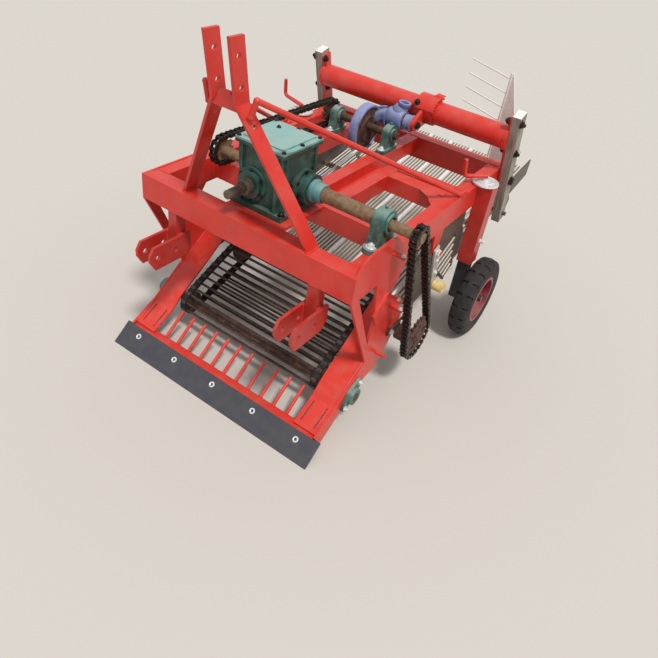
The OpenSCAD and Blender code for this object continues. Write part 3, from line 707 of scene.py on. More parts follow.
@dataclass(frozen=True)
class HexBolt:
    """One hex head or nut on its washer, with what sticks out of the nut."""

    at: Point
    out: Point
    thread_mm: float = 12.0
    stud_mm: float = 0.0
    washer_share: float = 1.15
    turn_deg: float = 10.0
    # Shares of the thread: half the width over corners, the head's height, the washer's thickness
    CORNER, HEAD, SHEET = 0.92, 0.66, 0.2

    def build(self, piece: PieceBuilder) -> None:
        """Add the washer, the head and the stud to a piece."""
        at, out, m = spot(*self.at), Vector(self.out), self.thread_mm
        corner, rise, sheet = m * self.CORNER, m * self.HEAD, m * self.SHEET
        start = 0.0
        if self.washer_share:
            rim = m * self.washer_share
            piece.turned(at, out, [
                (0, m / 2), (0, rim), (m * 0.14, rim), (sheet, rim - m * 0.06), (sheet, m / 2),
            ], 20)
            start = sheet
        piece.turned(at, out, [(start, m * 0.8), (start + 0.3, corner), (start + rise * 0.86, corner),
                               (start + rise, corner * 0.84), (start + rise, m * 0.4)], 6, self.turn_deg)
        if self.stud_mm:
            length, step = self.stud_mm, 1.5
            profile = [(start + rise - 1, m * 0.45)]
            for i in range(int(length / step)):
                along = start + rise + i * step
                profile += [(along + 0.4, m * 0.5), (along + 1.1, m * 0.43)]
            piece.turned(at, out, profile + [(start + rise + length, m * 0.36)], 14)

    def pair(self, piece: PieceBuilder) -> None:
        """Add it on its own side of the machine and its mirror image on the other."""
        self.build(piece)
        (x, y, z), (u, v, w) = self.at, self.out
        replace(self, at=(-x, y, z), out=(-u, v, w)).build(piece)


@dataclass
class Fasteners:
    """Every bolt, nut and washer that shows, gathered by what they hold."""

    def ploughs(self, piece: PieceBuilder) -> None:
        """Countersunk plough bolts in the share: a bright rim round a dark socket."""
        out = Vector((0, -0.636, 0.772))
        for x in (-434, -217, 0, 217, 434):
            piece.turned(spot(x, -123, 47.8), out, [
                (-2, 3), (-2, 12.5), (0.6, 12.5), (2.2, 11), (2.6, 8.5), (1.2, 6.2), (-1.0, 5.4), (-1.2, 1),
            ], 28)

    def pillow_feet(self, piece: PieceBuilder) -> None:
        """Bolts through the feet of the pillow blocks, on wide washers."""
        for x, ys, m in ((441, (182, 302), 14), (-262, (936, 1040), 12), (26, (936, 1040), 12)):
            for k, y in enumerate(ys):
                HexBolt((x, y, 788), UP, m, 4, 1.45, 12 + 17 * k).build(piece)

    def frame_side(self, piece: PieceBuilder) -> None:
        """Bolts of the front roller's flanges, the drive bearings and the guard lugs."""
        face = AT.half + 22
        y, z = AT.roller_axis
        for e in (-1, 1):
            HexBolt((face, y + e * 44.5, z + e * 38.7), RIGHT, 10, 5, 1.1, 14 + 20 * e).pair(piece)
        for along in (361, 449):
            HexBolt((face, along, 336), RIGHT, 10, 4).pair(piece)
        HexBolt((AT.half + 12.6, 677.6, 569.8), RIGHT, 18, 0, 0.95).pair(piece)
        for along, high in ((244, 767), (295, 549), (331, 482)):
            HexBolt((AT.half + 50, along, high), UP, 8, 3).build(piece)

    def gearbox(self, piece: PieceBuilder) -> None:
        """Cap screws round the lid, the foot and the two bearing covers that show."""
        for x in (-112, -12, 88):
            for y in (110, 215, 320):
                if (x, y) != (-12, 215):
                    HexBolt((x, y, 1028), UP, 8, 0, 1.1, x + y).build(piece)
        for x in (-122, 98):
            for y in (112, 324):
                HexBolt((x, y, 790), UP, 12, 5, 1.2, y).build(piece)
        middle, high = AT.cross_axis
        for k in range(6):
            c, s = compass(math.tau * (k + 0.5) / 6) * 57
            HexBolt((-42 + c, 104, high + s), -REAR, 8, 0, 0, 20 * k).build(piece)
            HexBolt((100, middle + c, high + s), RIGHT, 8, 0, 0, 20 * k).build(piece)

    def swing_side(self, piece: PieceBuilder) -> None:
        """Coach bolts that clamp each board to its red plate."""
        for y, z in ((1174, 1018), (1226, 868)):
            HexBolt((AT.board_face, y, z), RIGHT, 16, 8, 1.2, z).pair(piece)
            HexBolt((AT.half + 2, y, z), -RIGHT, 16, 6, 1.1, z).pair(piece)

    def knuckle_pin(self, piece: PieceBuilder) -> None:
        """Head and nut of the con rod's pin, and the saddle's bolt."""
        HexBolt((-53, *AT.eye_axis), -RIGHT, 20, 3, 1.15).build(piece)
        HexBolt((60, 1152, 970), (0, -0.8, 0.6), 16, 9, 1.2, 20).build(piece)
        HexBolt((104, *AT.eye_axis), RIGHT, 16, 4, 1.1).build(piece)

    def hanger_side(self, piece: PieceBuilder) -> None:
        """Bolts that clamp each front hanger's two leaves."""
        for y, z in ((716, 450), (694, 524)):
            HexBolt((AT.half + 12, y, z), RIGHT, 10, 3, 1.1, z).pair(piece)

    def build(self, zinc: Material, black: Material) -> None:
        """Build the groups that ride on the frame, the rocker and the front arms."""
        for name, finish, body, slot, groups in (
            ("share_plough_bolts", zinc, "frame", "zinc_bright", (self.ploughs,)),
            ("pillow_and_side_bolts", zinc, "frame", "zinc_bright", (self.pillow_feet, self.frame_side)),
            ("gearbox_cap_screws", black, "frame", "chain_oil", (self.gearbox,)),
            ("rocker_bolts", black, "rocker", "chain_oil", (self.swing_side, self.knuckle_pin)),
            ("hanger_bolts", zinc, "front_arms", "zinc_bright", (self.hanger_side,)),
        ):
            piece = PieceBuilder(name)
            for group in groups:
                group(piece)
            piece.hand_over(finish, body, slot)


@dataclass
class SidePins:
    """A pin on each side of the machine with its nuts, in place of their plain stand-ins."""

    name: str
    node: str
    start: Point
    shank: list[Pair]
    sides: int
    nuts: tuple[HexBolt, ...]

    def build(self, finish: Material, slot: str) -> None:
        """Build both pins as one piece."""
        piece = PieceBuilder(self.name)
        x, y, z = self.start
        for s in (-1, 1):
            piece.turned(spot(s * x, y, z), RIGHT * s, self.shank, self.sides)
        for nut in self.nuts:
            nut.pair(piece)
        piece.hand_over(finish, "frame", slot, self.node)


@dataclass
class WeldBeads:
    """Hand-laid arc welds: rows of overlapping ripples where plates and tubes meet."""

    ripple_mm: float = 3.2
    bead_mm: float = 3.4

    def lay(self, piece: PieceBuilder, points: list[Point], bead_mm: float = 0.0) -> None:
        """Lay one bead along corner points.

        Args:
            piece: the piece that it joins.
            points: the corners of its path, in the machine's millimetres.
            bead_mm: its radius, or 0 for the usual one.
        """
        size = bead_mm or self.bead_mm
        path: list[Vector] = []
        radii: list[float] = []
        for a, b in zip(points, points[1:]):
            start, end = Vector(a), Vector(b)
            steps = max(1, round((end - start).length / self.ripple_mm))
            for i in range(steps + (b is points[-1])):
                p = start.lerp(end, i / steps)
                wander = math.sin(len(path) * 1.7) * 0.25 + math.sin(len(path) * 0.37) * 0.3
                path.append(spot(p.x, p.y, p.z + wander * 0.6))
                radii.append(size * (1.0 if len(path) % 2 else 0.76) * (1 + 0.12 * wander))
        radii[0] = radii[-1] = size * 0.4
        piece.drawn(path, radii)

    def pair(self, piece: PieceBuilder, points: list[Point], bead_mm: float = 0.0) -> None:
        """Lay a bead on the left and its mirror image on the right."""
        for s in (-1, 1):
            self.lay(piece, [(s * x, y, z) for x, y, z in points], bead_mm)

    def ring(self, piece: PieceBuilder, centre: Point, radius: float, along: Vector,
             bead_mm: float = 0.0) -> None:
        """Lay a closed bead round a tube or rod."""
        size = bead_mm or self.bead_mm
        u, v = sides_of(along.normalized())
        steps = max(12, round(math.tau * radius / self.ripple_mm / 2) * 2)
        path = [spot(*centre) + spoke(u, v, math.tau * i / steps) * radius * MM for i in range(steps)]
        piece.drawn(path, [size * (1.0 if i % 2 else 0.76) for i in range(steps)], closed=True)

    def frame_joints(self, piece: PieceBuilder) -> None:
        """Welds of the frame's tubes and of the plates on them."""
        top, half, rail = AT.top, AT.half, AT.rail_in
        for y in (72, 1265):
            self.pair(piece, [(rail, y, top - 100), (rail, y, top), (half, y, top)])
        self.pair(piece, [(half, 42, top), (half, 260, top)], 4.2)
        self.pair(piece, [(rail, 324, top), (rail, 374, top), (rail, 374, top - 88)])
        self.pair(piece, [(rail, 324, top - 88), (rail, 324, top)])
        for y in (1000, 1070):
            self.pair(piece, [(half, y, top - 104), (half, y, top)])
        self.pair(piece, [(half, 1000, top), (half, 1070, top)])
        arm = ((-78, 78), (31, 136), (84, 188), (201, 266), (345, 370))
        self.pair(piece, [(half, y, z) for y, z in arm])
        mast = ((297, 14.5), (297, 77.5), (283.5, 77.5), (283.5, 14.5), (297, 14.5))
        self.pair(piece, [(x, y, top + 1) for x, y in mast], 4.0)
        for x in (319.5, 363.5):
            self.pair(piece, [(x, 3, 662), (x, 50, 662)])
        self.pair(piece, [(319.5, 2, 662), (363.5, 2, 662)])
        for x in (312.5, 370.5):
            self.pair(piece, [(x, 2, 470), (x, 2, 569)])
        self.pair(piece, [(half, 680, 661), (half, 718, 661)])
        self.pair(piece, [(53.6, -94, 1206), (42, -94, 1228), (42, -94, 1240)], 2.6)
        self.pair(piece, [(460.5, 838, top + 3), (460.5, 896, top + 3), (491, 896, top + 3)], 2.6)
        for a, b, y in ((-8, 52, 374), (-290, -240, 374), (115, 172, 374), (-8, 52, 1265), (-290, -240, 1265),
                        (-130, 140, 73), (-130, 140, 323)):
            self.lay(piece, [(a, y, top), (b, y, top)])
        for a, b in ((757, 832), (844, 910)):
            self.lay(piece, [(rail, a, top - 68), (rail, a, top), (rail, b, top), (rail, b, top - 68)])
            self.lay(piece, [(172, a, top), (172, b, top)])
        for k in range(-5, 6):
            self.ring(piece, (k * 67, -54, 62.5), 7.6, Vector((0, 111, 87)), 2.0)

    def rocker_joints(self, piece: PieceBuilder) -> None:
        """Welds of the rocker's tube, its end plates and its knuckle."""
        for x, radius in ((-494, 53.5), (494, 53.5), (44, 54.0), (140, 54.0)):
            self.ring(piece, (x, *AT.tube_axis), radius, RIGHT)
        self.lay(piece, [(84, 1104, 920), (84, 1150, 950)])
        self.ring(piece, (84, *AT.eye_axis), 29, RIGHT, 2.6)

    def build(self, red: Material) -> None:
        """Build both pieces of weld."""
        for body, joints in (("frame", self.frame_joints), ("rocker", self.rocker_joints)):
            piece = PieceBuilder(f"{body}_welds")
            joints(piece)
            piece.hand_over(red, body, "frame_red", crease_deg=80)


@dataclass
class RollerChain:
    """A roller chain laid round two sprockets, link by link, with pins, rollers and plates."""

    name: str
    node: str
    first_mm: Pair
    first_radius_mm: float
    second_mm: Pair
    second_radius_mm: float
    x_mm: float
    pitch_mm: float = 25.4
    plate_mm: float = 10.4
    waist_mm: float = 7.4
    sheet_mm: float = 3.2
    half_width_mm: float = 15.4

    def runs(self) -> tuple[float, float, float]:
        """Give the length of a straight run, how far it leans and the heading between the axes."""
        step = Vector(self.second_mm) - Vector(self.first_mm)
        lean = math.asin((self.first_radius_mm - self.second_radius_mm) / step.length)
        return step.length * math.cos(lean), lean, math.atan2(step.y, step.x)

    def place(self, t: float) -> Vector:
        """Give the point at the distance t along the loop.

        Args:
            t: distance in millimetres from the first tangent point.

        Returns:
            The point as y and z in the machine's millimetres.
        """
        p, q = Vector(self.first_mm), Vector(self.second_mm)
        rp, rq = self.first_radius_mm, self.second_radius_mm
        run, lean, heading = self.runs()
        quarter = math.pi / 2
        arc = rq * (math.pi - 2 * lean)
        up, low = heading + quarter - lean, heading - quarter + lean
        if t < run:
            return p + rp * compass(up) + t * compass(up - quarter)
        if t < run + arc:
            return q + rq * compass(up - (t - run) / rq)
        if t < 2 * run + arc:
            return q + rq * compass(low) + (t - run - arc) * compass(low - quarter)
        return p + rp * compass(low - (t - 2 * run - arc) / rp)

    def whole(self) -> float:
        """Length of the loop in millimetres."""
        run, lean, _ = self.runs()
        rp, rq = self.first_radius_mm, self.second_radius_mm
        return 2 * run + math.pi * (rp + rq) + 2 * lean * (rp - rq)

    def link_plate(self, piece: PieceBuilder, a: Vector, b: Vector, x: float) -> None:
        """Cut one waisted plate between two pins."""
        along = (b - a).normalized()
        across = Vector((-along.y, along.x))
        outline: list[Vector] = []
        for end, sign in ((b, 1), (a, -1)):
            for k in range(6):
                g = math.radians(-90 + 36 * k)
                outline.append(end + spoke(along, across, g) * self.plate_mm * sign)
            outline.append((a + b) / 2 + across * self.waist_mm * sign)
        piece.cut([spot(x - self.sheet_mm / 2, *p) for p in outline], RIGHT * self.sheet_mm * MM)

    def build(self, steel: Material) -> None:
        """Build the chain in place of its plain loop."""
        piece = PieceBuilder(self.name)
        length = self.whole()
        count = round(length / self.pitch_mm)
        count += count % 2
        pins = [self.place((k + 0.25) * length / count) for k in range(count)]
        wide = self.half_width_mm - 2 * self.sheet_mm - 0.4
        roller = [(0, 5), (0, 7.9), (2 * wide, 7.9), (2 * wide, 5)]
        reach = self.half_width_mm + 1.2
        rivet = [(0, 3.2), (0.6, 4.1), (2 * reach - 0.6, 4.1), (2 * reach, 3.2)]
        for k, pin in enumerate(pins):
            offset = self.half_width_mm - self.sheet_mm / 2 - (0.0 if k % 2 else self.sheet_mm + 0.3)
            for s in (-1, 1):
                self.link_plate(piece, pin, pins[(k + 1) % count], self.x_mm + s * offset)
            piece.turned(spot(self.x_mm - wide, *pin), RIGHT, roller, 12)
            piece.turned(spot(self.x_mm - reach, *pin), RIGHT, rivet, 8)
        piece.hand_over(steel, "frame", "chain_oil", self.node)


@dataclass
class WebClips:
    """Clips and rivets that fasten each elevator rod to the two side belts."""

    roller_radius_mm: float = 52.0
    drive_radius_mm: float = 72.0
    pitch_mm: float = 36.0
    belt_at_mm: float = 360.0
    rise_mm: float = 6.0

    def rods(self) -> list[tuple[Vector, Vector]]:
        """Find every rod's place round the web.

        Returns:
            Each rod's point and outward direction, as y and z in the machine's millimetres.
        """
        roller, drive = Vector(AT.roller_axis), Vector(AT.drive_axis)
        r_roller, r_drive = self.roller_radius_mm, self.drive_radius_mm
        step = drive - roller
        heading = math.atan2(step.y, step.x)
        off = math.acos((r_roller - r_drive) / step.length)
        found: list[tuple[Vector, Vector]] = []
        for g in (heading + off, heading - off):
            out = compass(g)
            a, b = roller + out * r_roller, drive + out * r_drive
            n = int((b - a).length / self.pitch_mm)
            found += [(a.lerp(b, i / n), out) for i in range(n + 1)]
        bends = ((roller, r_roller, math.tau - 2 * off, 1), (drive, r_drive, 2 * off, -1))
        for centre, radius, arc, way in bends:
            n = int(radius * arc / self.pitch_mm)
            for i in range(1, n):
                out = compass(heading + off + way * arc * i / n)
                found.append((centre + out * radius, out))
        return found

    def build(self, steel: Material) -> None:
        """Build all clips as one piece."""
        piece = PieceBuilder("web_rod_clips")
        corners = ((-12, -6), (-9, -8), (9, -8), (12, -6), (12, 6), (9, 8), (-9, 8), (-12, 6))
        for at, out in self.rods():
            along = Vector((-out.y, out.x))
            face = at + out * (self.rise_mm + 0.1)
            outward = Vector((0, *out))
            for middle in (-self.belt_at_mm, self.belt_at_mm):
                clip = [spot(middle + u, *(face + along * v)) for u, v in corners]
                piece.cut(clip, outward * 2.2 * MM)
                for u in (-6, 6):
                    piece.turned(spot(middle + u, *face), outward, [(2, 3.4), (3.4, 3.0), (4.4, 1.6)], 8)
        piece.hand_over(steel, "frame", "web_steel")


@dataclass
class StrapCasting:
    """The eccentric's cast ring, rod and bored eye with its open boss, in place of the plain solid.

    The rusty disc in the ring's mouth, the bush beside the eye and the torch-cut saddle are pieces
    of their own.
    """

    ring_at_mm: float = -130.0
    eye_at_mm: float = -50.0
    saddle_mm: float = 63.0
    saddle_sheet_mm: float = 9.0
    saddle_span_mm: Pair = (49.0, 150.0)
    saddle_from_deg: float = 62.0
    saddle_step_deg: float = 4.3

    def casting(self, iron: Material) -> None:
        """Cast the ring, the rod, the eye and the boss."""
        piece = PieceBuilder("eccentric_casting")
        rim = [(0, 60), (0, 105), (2, 109), (5, 111), (41, 111), (44, 109), (46, 106), (46, 100), (37, 97),
               (37, 60)]
        piece.turned(spot(self.ring_at_mm, *AT.ring_axis), RIGHT, rim, 56, closed=True)
        eye = [(0, 30.5), (0, 40), (3, 44), (12, 47), (30, 51), (58, 51), (74, 48), (83, 46), (86, 43),
               (86, 30.5)]
        piece.turned(spot(self.eye_at_mm, *AT.eye_axis), RIGHT, eye, 40, closed=True)
        path = [(-104, 1052, 868), (-92, 1062, 874), (-78, 1068, 880), (-64, 1072, 884), (-44, 1074, 886)]
        piece.drawn([spot(*p) for p in path], [28, 36, 35, 37, 42], 24)
        rib = [(-112, 1036, 912), (-92, 1064, 908), (-60, 1078, 918), (-60, 1078, 936), (-92, 1056, 930),
               (-112, 1030, 928)]
        piece.cut([spot(*p) for p in rib], Vector((8, -4, 0)) * MM)
        piece.turned(spot(0, 1100, 922), Vector((0.2, 0, 1)), [(0, 38), (10, 37), (20, 31), (30, 25)], 28)
        boss = [(0, 17), (0, 23), (30, 23), (34, 28), (46, 30), (50, 28.5), (50, 20), (44, 17)]
        piece.turned(spot(14, 1103, 920), Vector((0.1, 0, 1)), boss, 32, closed=True)
        piece.turned(spot(15, 1103, 930), Vector((0.1, 0, 1)), [(0, 18), (20, 18), (21, 15)], 20)
        piece.hand_over(iron, "frame", "violet_cast", "eccentric_strap", crease_deg=50)

    def disc(self, steel: Material) -> None:
        """Turn the rusty disc that fills the ring's mouth."""
        piece = PieceBuilder("eccentric_disc_face")
        face = [(0, 96.5), (4, 96.5), (3, 72), (6, 60), (10.4, 58.6), (10.6, 24)]
        piece.turned(spot(self.ring_at_mm + 36, *AT.ring_axis), RIGHT, face, 56)
        piece.hand_over(steel, "frame", "shaft_rust")

    def saddle(self, red: Material) -> None:
        """Bend the saddle's torch-cut plate round the tube, with its ragged edges."""
        piece = PieceBuilder("knuckle_saddle")
        rings = []
        for k in range(25):
            out = compass(math.radians(self.saddle_from_deg + self.saddle_step_deg * k))
            low = Vector(AT.tube_axis) + out * self.saddle_mm
            high = low + out * self.saddle_sheet_mm
            # The torch's wander along the cut edges, in millimetres
            rag = 2.6 * math.sin(k * 2.3) + 1.8 * math.sin(k * 4.1)
            left, right = self.saddle_span_mm[0] + rag, self.saddle_span_mm[1] - rag * 1.4
            rings.append([spot(left, *low), spot(left, *high), spot(right, *high), spot(right, *low)])
        piece.skin(rings)
        fin = [(150, 1196, 1003), (150, 1214, 1003), (162, 1222, 1016), (158, 1202, 1012)]
        piece.cut([spot(*p) for p in fin], Vector((-40, 0, 3)) * MM)
        piece.hand_over(red, "rocker", "frame_red")

    def bush(self, iron: Material) -> None:
        """Turn the bush that spaces the eye from the knuckle's arm."""
        piece = PieceBuilder("knuckle_bush")
        bush = [(0, 20), (0, 33), (2, 36), (30, 36), (33, 39), (40, 39), (41, 37), (41, 20)]
        piece.turned(spot(self.eye_at_mm + 92, *AT.eye_axis), RIGHT, bush, 40, closed=True)
        piece.hand_over(iron, "rocker", "violet_cast")

    def build(self, iron: Material, steel: Material, red: Material) -> None:
        """Build the four pieces."""
        self.casting(iron)
        self.bush(iron)
        self.disc(steel)
        self.saddle(red)


@dataclass
class GrilleRods:
    """Every second grille rod again in pale zinc, a little proud of the plain ones: lit rods against the
    plain rods and sheet, darkened as painted shade.
    """

    corners_mm: tuple[Pair, ...] = ((748.0, 447.2), (953.0, 536.2), (1005.0, 332.2), (939.0, 288.2))
    rods: int = 10
    radius_mm: float = 4.3

    def build(self, zinc: Material) -> None:
        """Build both sides' rods as one piece."""
        piece = PieceBuilder("sieve_grille_rods")
        top_front, top_rear, low_rear, low_front = (Vector(c) for c in self.corners_mm)
        for s in (-1, 1):
            for k in range(1, self.rods + 1, 2):
                a = top_front.lerp(low_front, k / self.rods)
                b = top_rear.lerp(low_rear, k / self.rods)
                run = (b - a).normalized()
                ends = [spot(s * AT.grille, *end) for end in (a + run * 9, b - run * 9)]
                piece.drawn(ends, [self.radius_mm] * 2, 8)
        piece.hand_over(zinc, "sieve", "galvanised")


@dataclass
class DepthCranks:
    """The bent handles that turn the depth screws, with the rings of their plates."""

    hub_mm: Point = (509.5, 1035.0, 807.0)
    plate_mm: float = 775.0

    def handle(self, piece: PieceBuilder, side: int, out: Pair, rise: Pair) -> None:
        """Bend one handle from its hub out and up.

        Args:
            piece: the piece that it joins.
            side: 1 for the right and -1 for the left.
            out: how far the arm goes across and to the rear.
            rise: how far the grip leans across and to the rear.
        """
        hub = Vector(self.hub_mm)
        elbow = hub + Vector((*out, -4))
        tip = elbow + Vector((*rise, 82))
        corners = [hub - UP * 12, hub + UP * 2]
        arm, grip = (elbow - hub).normalized(), (tip - elbow).normalized()
        corners += [hub + arm * 12, elbow - arm * 20]
        for k in range(1, 6):
            t = k / 6
            a, b, c = elbow - arm * 20, elbow, elbow + grip * 20
            corners.append(a * (1 - t) ** 2 + b * 2 * t * (1 - t) + c * t * t)
        corners += [elbow + grip * 20, tip - grip * 2, tip]
        radii = [9.0, 10.0, 10.5] + [9.5] * (len(corners) - 5) + [8.6, 6.4]
        piece.drawn([spot(side * p.x, p.y, p.z) for p in corners], radii, 16)

    def build(self, red: Material, zinc: Material) -> None:
        """Build both handles and both plates' rings."""
        piece = PieceBuilder("crank_handles_bent")
        self.handle(piece, 1, (-76, -75), (-4, -14))
        self.handle(piece, -1, (150, 60), (2, -4))
        piece.hand_over(red, "frame", "frame_red", "crank_handles")
        rings = PieceBuilder("crank_plate_rings")
        for s in (-1, 1):
            at = spot(s * self.hub_mm[0], self.hub_mm[1], self.plate_mm)
            for ring in ([(5.4, 51), (5.4, 59.5), (7.4, 59), (8.0, 56), (7.4, 52.5)],
                         [(8.4, 22), (8.4, 37), (11.5, 35.5), (13.0, 31), (12.0, 26), (10.0, 22)]):
                rings.turned(at, UP, ring, 48, closed=True)
        rings.hand_over(zinc, "frame", "zinc_bright")


@dataclass
class GearboxFittings:
    """The pale sleeve on the gearbox's right cover, the oil filler and the level plug."""

    def build(self, sleeve: Material, black: Material) -> None:
        """Build the sleeve and the plugs."""
        collar = PieceBuilder("cross_shaft_sleeve")
        collar.turned(spot(138.2, *AT.cross_axis), RIGHT, [
            (0, 28), (0, 43), (3, 44), (14, 44), (17, 41.5), (19, 37), (46, 37), (49, 35), (49, 28),
        ], 44, closed=True)
        collar.hand_over(sleeve, "frame", "cast_green")
        plugs = PieceBuilder("gearbox_plugs")
        plugs.turned(spot(-60, 266, 1033.6), UP, [(0, 9), (2, 9), (2.2, 6), (7, 6), (8, 5)], 18)
        plugs.turned(spot(97.6, 150, 900), RIGHT, [(-8, 9), (3, 9), (3.4, 7)], 18)
        plugs.turned(spot(100.8, 150, 900), RIGHT, [(0, 6.6), (5, 6.6), (6, 5.6)], 6)
        plugs.hand_over(black, "frame", "chain_oil")


@dataclass
class DepthTyre:
    """A solid-looking small tyre with pairs of short shoulder grooves, in place of its plain solid."""

    side: int
    node: str
    body: str
    centre_mm: float = 615.5
    blocks: int = 20
    groove_mm: float = 9.0

    def build(self, rubber: Material) -> None:
        """Build the tyre with its tread."""
        piece = PieceBuilder(self.node + "_treaded")
        half = [(39, 118.2), (43, 128), (45, 140), (45, 152), (44.5, 160), (43.2, 161.5), (44, 165),
                (43, 178), (41, 183), (40.5, 184), (36, 190.5), (31, 194.6), (22, 196.6), (12, 198.3),
                (10, 198.6)]
        inner = [(20, 116), (-20, 116)]
        profile = [(-x, r) for x, r in half] + [(0, 200)] + half[::-1] + inner
        # Each block's share of its pitch: the groove is cut where it is marked
        stations = ((0.0, False), (0.3, False), (0.33, True), (0.49, True), (0.52, False), (0.8, False))
        rings = []
        for block in range(self.blocks):
            for share, groove in stations:
                out = compass(math.tau * (block + share) / self.blocks)
                ring = []
                for x, r in profile:
                    depth = self.groove_mm if groove and 12 <= abs(x) <= 42 and r > 182 else 0.0
                    at = Vector(AT.wheel_axis) + out * (r - depth)
                    ring.append(spot(self.side * (self.centre_mm + x), *at))
                rings.append(ring)
        piece.skin(rings, closed=True)
        piece.hand_over(rubber, self.body, "tyre_black", self.node)


@dataclass
class SplinedInput:
    """The six-splined input stub in its collar, in place of its plain shaft."""

    at_mm: Point = (-42.0, 86.0, 866.0)
    splines: int = 6
    root_mm: float = 14.6
    crest_mm: float = 17.3

    def build(self, steel: Material) -> None:
        """Build the collar, the neck, the splines and their chamfered end."""
        piece = PieceBuilder("input_splines")
        at, out = spot(*self.at_mm), -REAR
        piece.turned(at, out, [(0, 30), (24, 30), (28, 28.5), (30, 26), (30, 22), (27, 21.5), (27, 14)], 36)
        piece.turned(at, out, [(20, 17.2), (44, 17.2), (46, 16.2)], 32)
        u, v = sides_of(out)
        rings = []
        # Distance along the stub and how far the splines stand out there
        stations = [(40, 0.6), (46, 1.0), (92, 1.0), (92.5, 0.0), (97, 0.0), (97.5, 1.0), (108, 1.0),
                    (111.8, 0.0)]
        for d, full in stations:
            ring = []
            for k in range(self.splines):
                for share, crest in ((0.0, 0), (0.22, 0), (0.24, 1), (0.76, 1), (0.78, 0)):
                    a = math.tau * (k + share) / self.splines
                    r = self.root_mm + (self.crest_mm - self.root_mm) * crest * full
                    ring.append(at + (out * d + spoke(u, v, a) * r) * MM)
            rings.append(ring)
        piece.skin(rings)
        piece.hand_over(steel, "frame", "shaft_rust", "input_shaft", crease_deg=25)


FRAME_RED = SprayedEnamel("gloss_red_enamel", "#d62a1c", "#e4483a", "#8e170e", roughness=0.33)
# A darker copy of the red enamel for the dark_red slot's parts: painted shade
SHADED_RED = SprayedEnamel("shaded_red_enamel", "#b82820", "#cc443a", "#741816", dust_share=0.22)
RIM_RED = SprayedEnamel("wheel_red_enamel", "#8c2836", "#a85058", "#581420", dust="#98806e", dust_share=0.5)
LEG_BLACK = SprayedEnamel("black_enamel", "#1c1c1e", "#3c3c3e", "#101010", dust="#857a6e", dust_share=0.2)
GEARBOX_GREEN = SandCastIron("teal_green_casting", "#1f453b", "#3c6a62", dust="#7c745e")
# The lid's colours are lightened, its coat on what looks up most, as painted sky reflection
LID_GREEN = SandCastIron("grey_green_cover", "#6a9c92", "#98beb6", oil="#50827a", dust="#b0b2a2",
                         grain_mm=6.0)
SLEEVE_GREEN = SandCastIron("pale_green_sleeve", "#4c8482", "#7cb0ac", oil="#2c5452", dust="#8c9488")
PILLOW_GREEN = SandCastIron("bearing_green_casting", "#2c5a50", "#7ca094", oil="#1a342e", dust="#a09a8c",
                            dust_share=0.6)
VIOLET_CAST = SandCastIron("violet_blue_casting", "#6874a2", "#9aa2c4", oil="#403c58", dust="#9c98a4",
                           grain_mm=5.0)
SHARE_STEEL = BareSteel("hardened_share_steel", "#45474e", "#52443c", 0.1, dust="#74685c", metallic=0.2,
                        roughness=0.5, dust_share=0.14, lay=Lay.GROUND, mark_mm=5.0, mark_share=0.1,
                        mark_colour="#6c6c70")
SHAFT_STEEL = BareSteel("turned_shaft_steel", "#8c7654", "#74492e", 0.8, metallic=0.35, roughness=0.5,
                        dust_share=0.2, lay=Lay.TURNED, mark_mm=14.0, mark_share=0.2)
SPLINE_STEEL = BareSteel("splined_steel", "#544840", "#6a4632", metallic=0.6, dust_share=0.2)
DARK_STEEL = BareSteel("dark_forged_steel", "#40302a", "#5c3826", 0.8, metallic=0.4, roughness=0.55,
                       dust_share=0.2, mark_share=0.1, mark_colour="#7c6c60")
WEB_STEEL = BareSteel("elevator_rod_steel", "#261f1b", "#44301f", dust="#6c5c4c", metallic=0.4,
                      roughness=0.45, dust_share=0.22, lay=Lay.GROUND, mark_mm=6.0, mark_share=0.12,
                      mark_colour="#8c8276", rubber_from_mm=340.0)
CLIP_STEEL = BareSteel("belt_clip_steel", "#2a2422", "#4a3224", 0.6, dust="#6c5c4c", metallic=0.4,
                       dust_share=0.2, mark_share=0.1)
SIEVE_ZINC = ZincPlate("sieve_rod_zinc", "#776a54", "#8c7e66", metallic=0.15, dust="#8c775c", dust_share=0.25,
                       strip_pitch_mm=129.36, strip_at_mm=-388.08, edge_share=0.0)
DULL_ZINC = ZincPlate("dull_zinc_sheet", "#b4afa4", "#cac6ba", dust_share=0.3, metallic=0.25)
# The panel's zinc is lightened near white to make up for the shade it stands in: painted light
FENCE_ZINC = ZincPlate("pale_zinc_panel", "#e8e4da", "#f4f1ea", dust_share=0.1, metallic=0.05)
GRILLE_ZINC = ZincPlate("grille_rod_zinc", "#b8b09e", "#ccc4b4", dust_share=0.25, metallic=0.2)
# The sieve's zinc sides, sheet and plain grille rods, darkened as painted shade
SHADE_DARK_SIDE_SHEET = ZincPlate("sieve_side_painted_shade", "#4c4439", "#5f564a", dust="#7c6a56", dust_share=0.3, metallic=0.2)
BRIGHT_ZINC = ZincPlate("bright_zinc_plating", "#dcdcda", "#f0f0ee", dust_share=0.12, metallic=0.3,
                        roughness=0.28, spangle_mm=5.0)
CHAIN_STEEL = GreasedChainSteel("greased_chain_steel")
BEECH = WeatheredBeech("weathered_beech", "#a49c90", "#746a5e")
NYLON = TurnedNylon("turned_nylon", "#ecd28c", "#d4b468")
RUBBER = TyreRubber("vulcanised_rubber", "#1d1b1b", "#564c44")

# The screws that press on the depth legs, each with two nuts, and the pins of the rear boards
LEG_SCREWS = SidePins("leg_clamp_bolts", "clamp_bolts", (554.8, 1030, 502),
                      [(0, 5), (0.5, 6.8), (27.0, 6.8), (27.5, 6)], 16,
                      (HexBolt((562.7, 1030, 502), RIGHT, 12.5, 8, 0),
                       HexBolt((579.5, 1030, 502), RIGHT, 12.5, 0, 0, 35)))
BOARD_PINS = SidePins("board_pivot_pins", "swing_pins", (AT.half, *AT.board_pivot),
                      [(0, 12), (52, 12), (53, 11)], 24,
                      (HexBolt((AT.board_face + 1.0, *AT.board_pivot), RIGHT, 20, 1.5, 1.1, 5),))

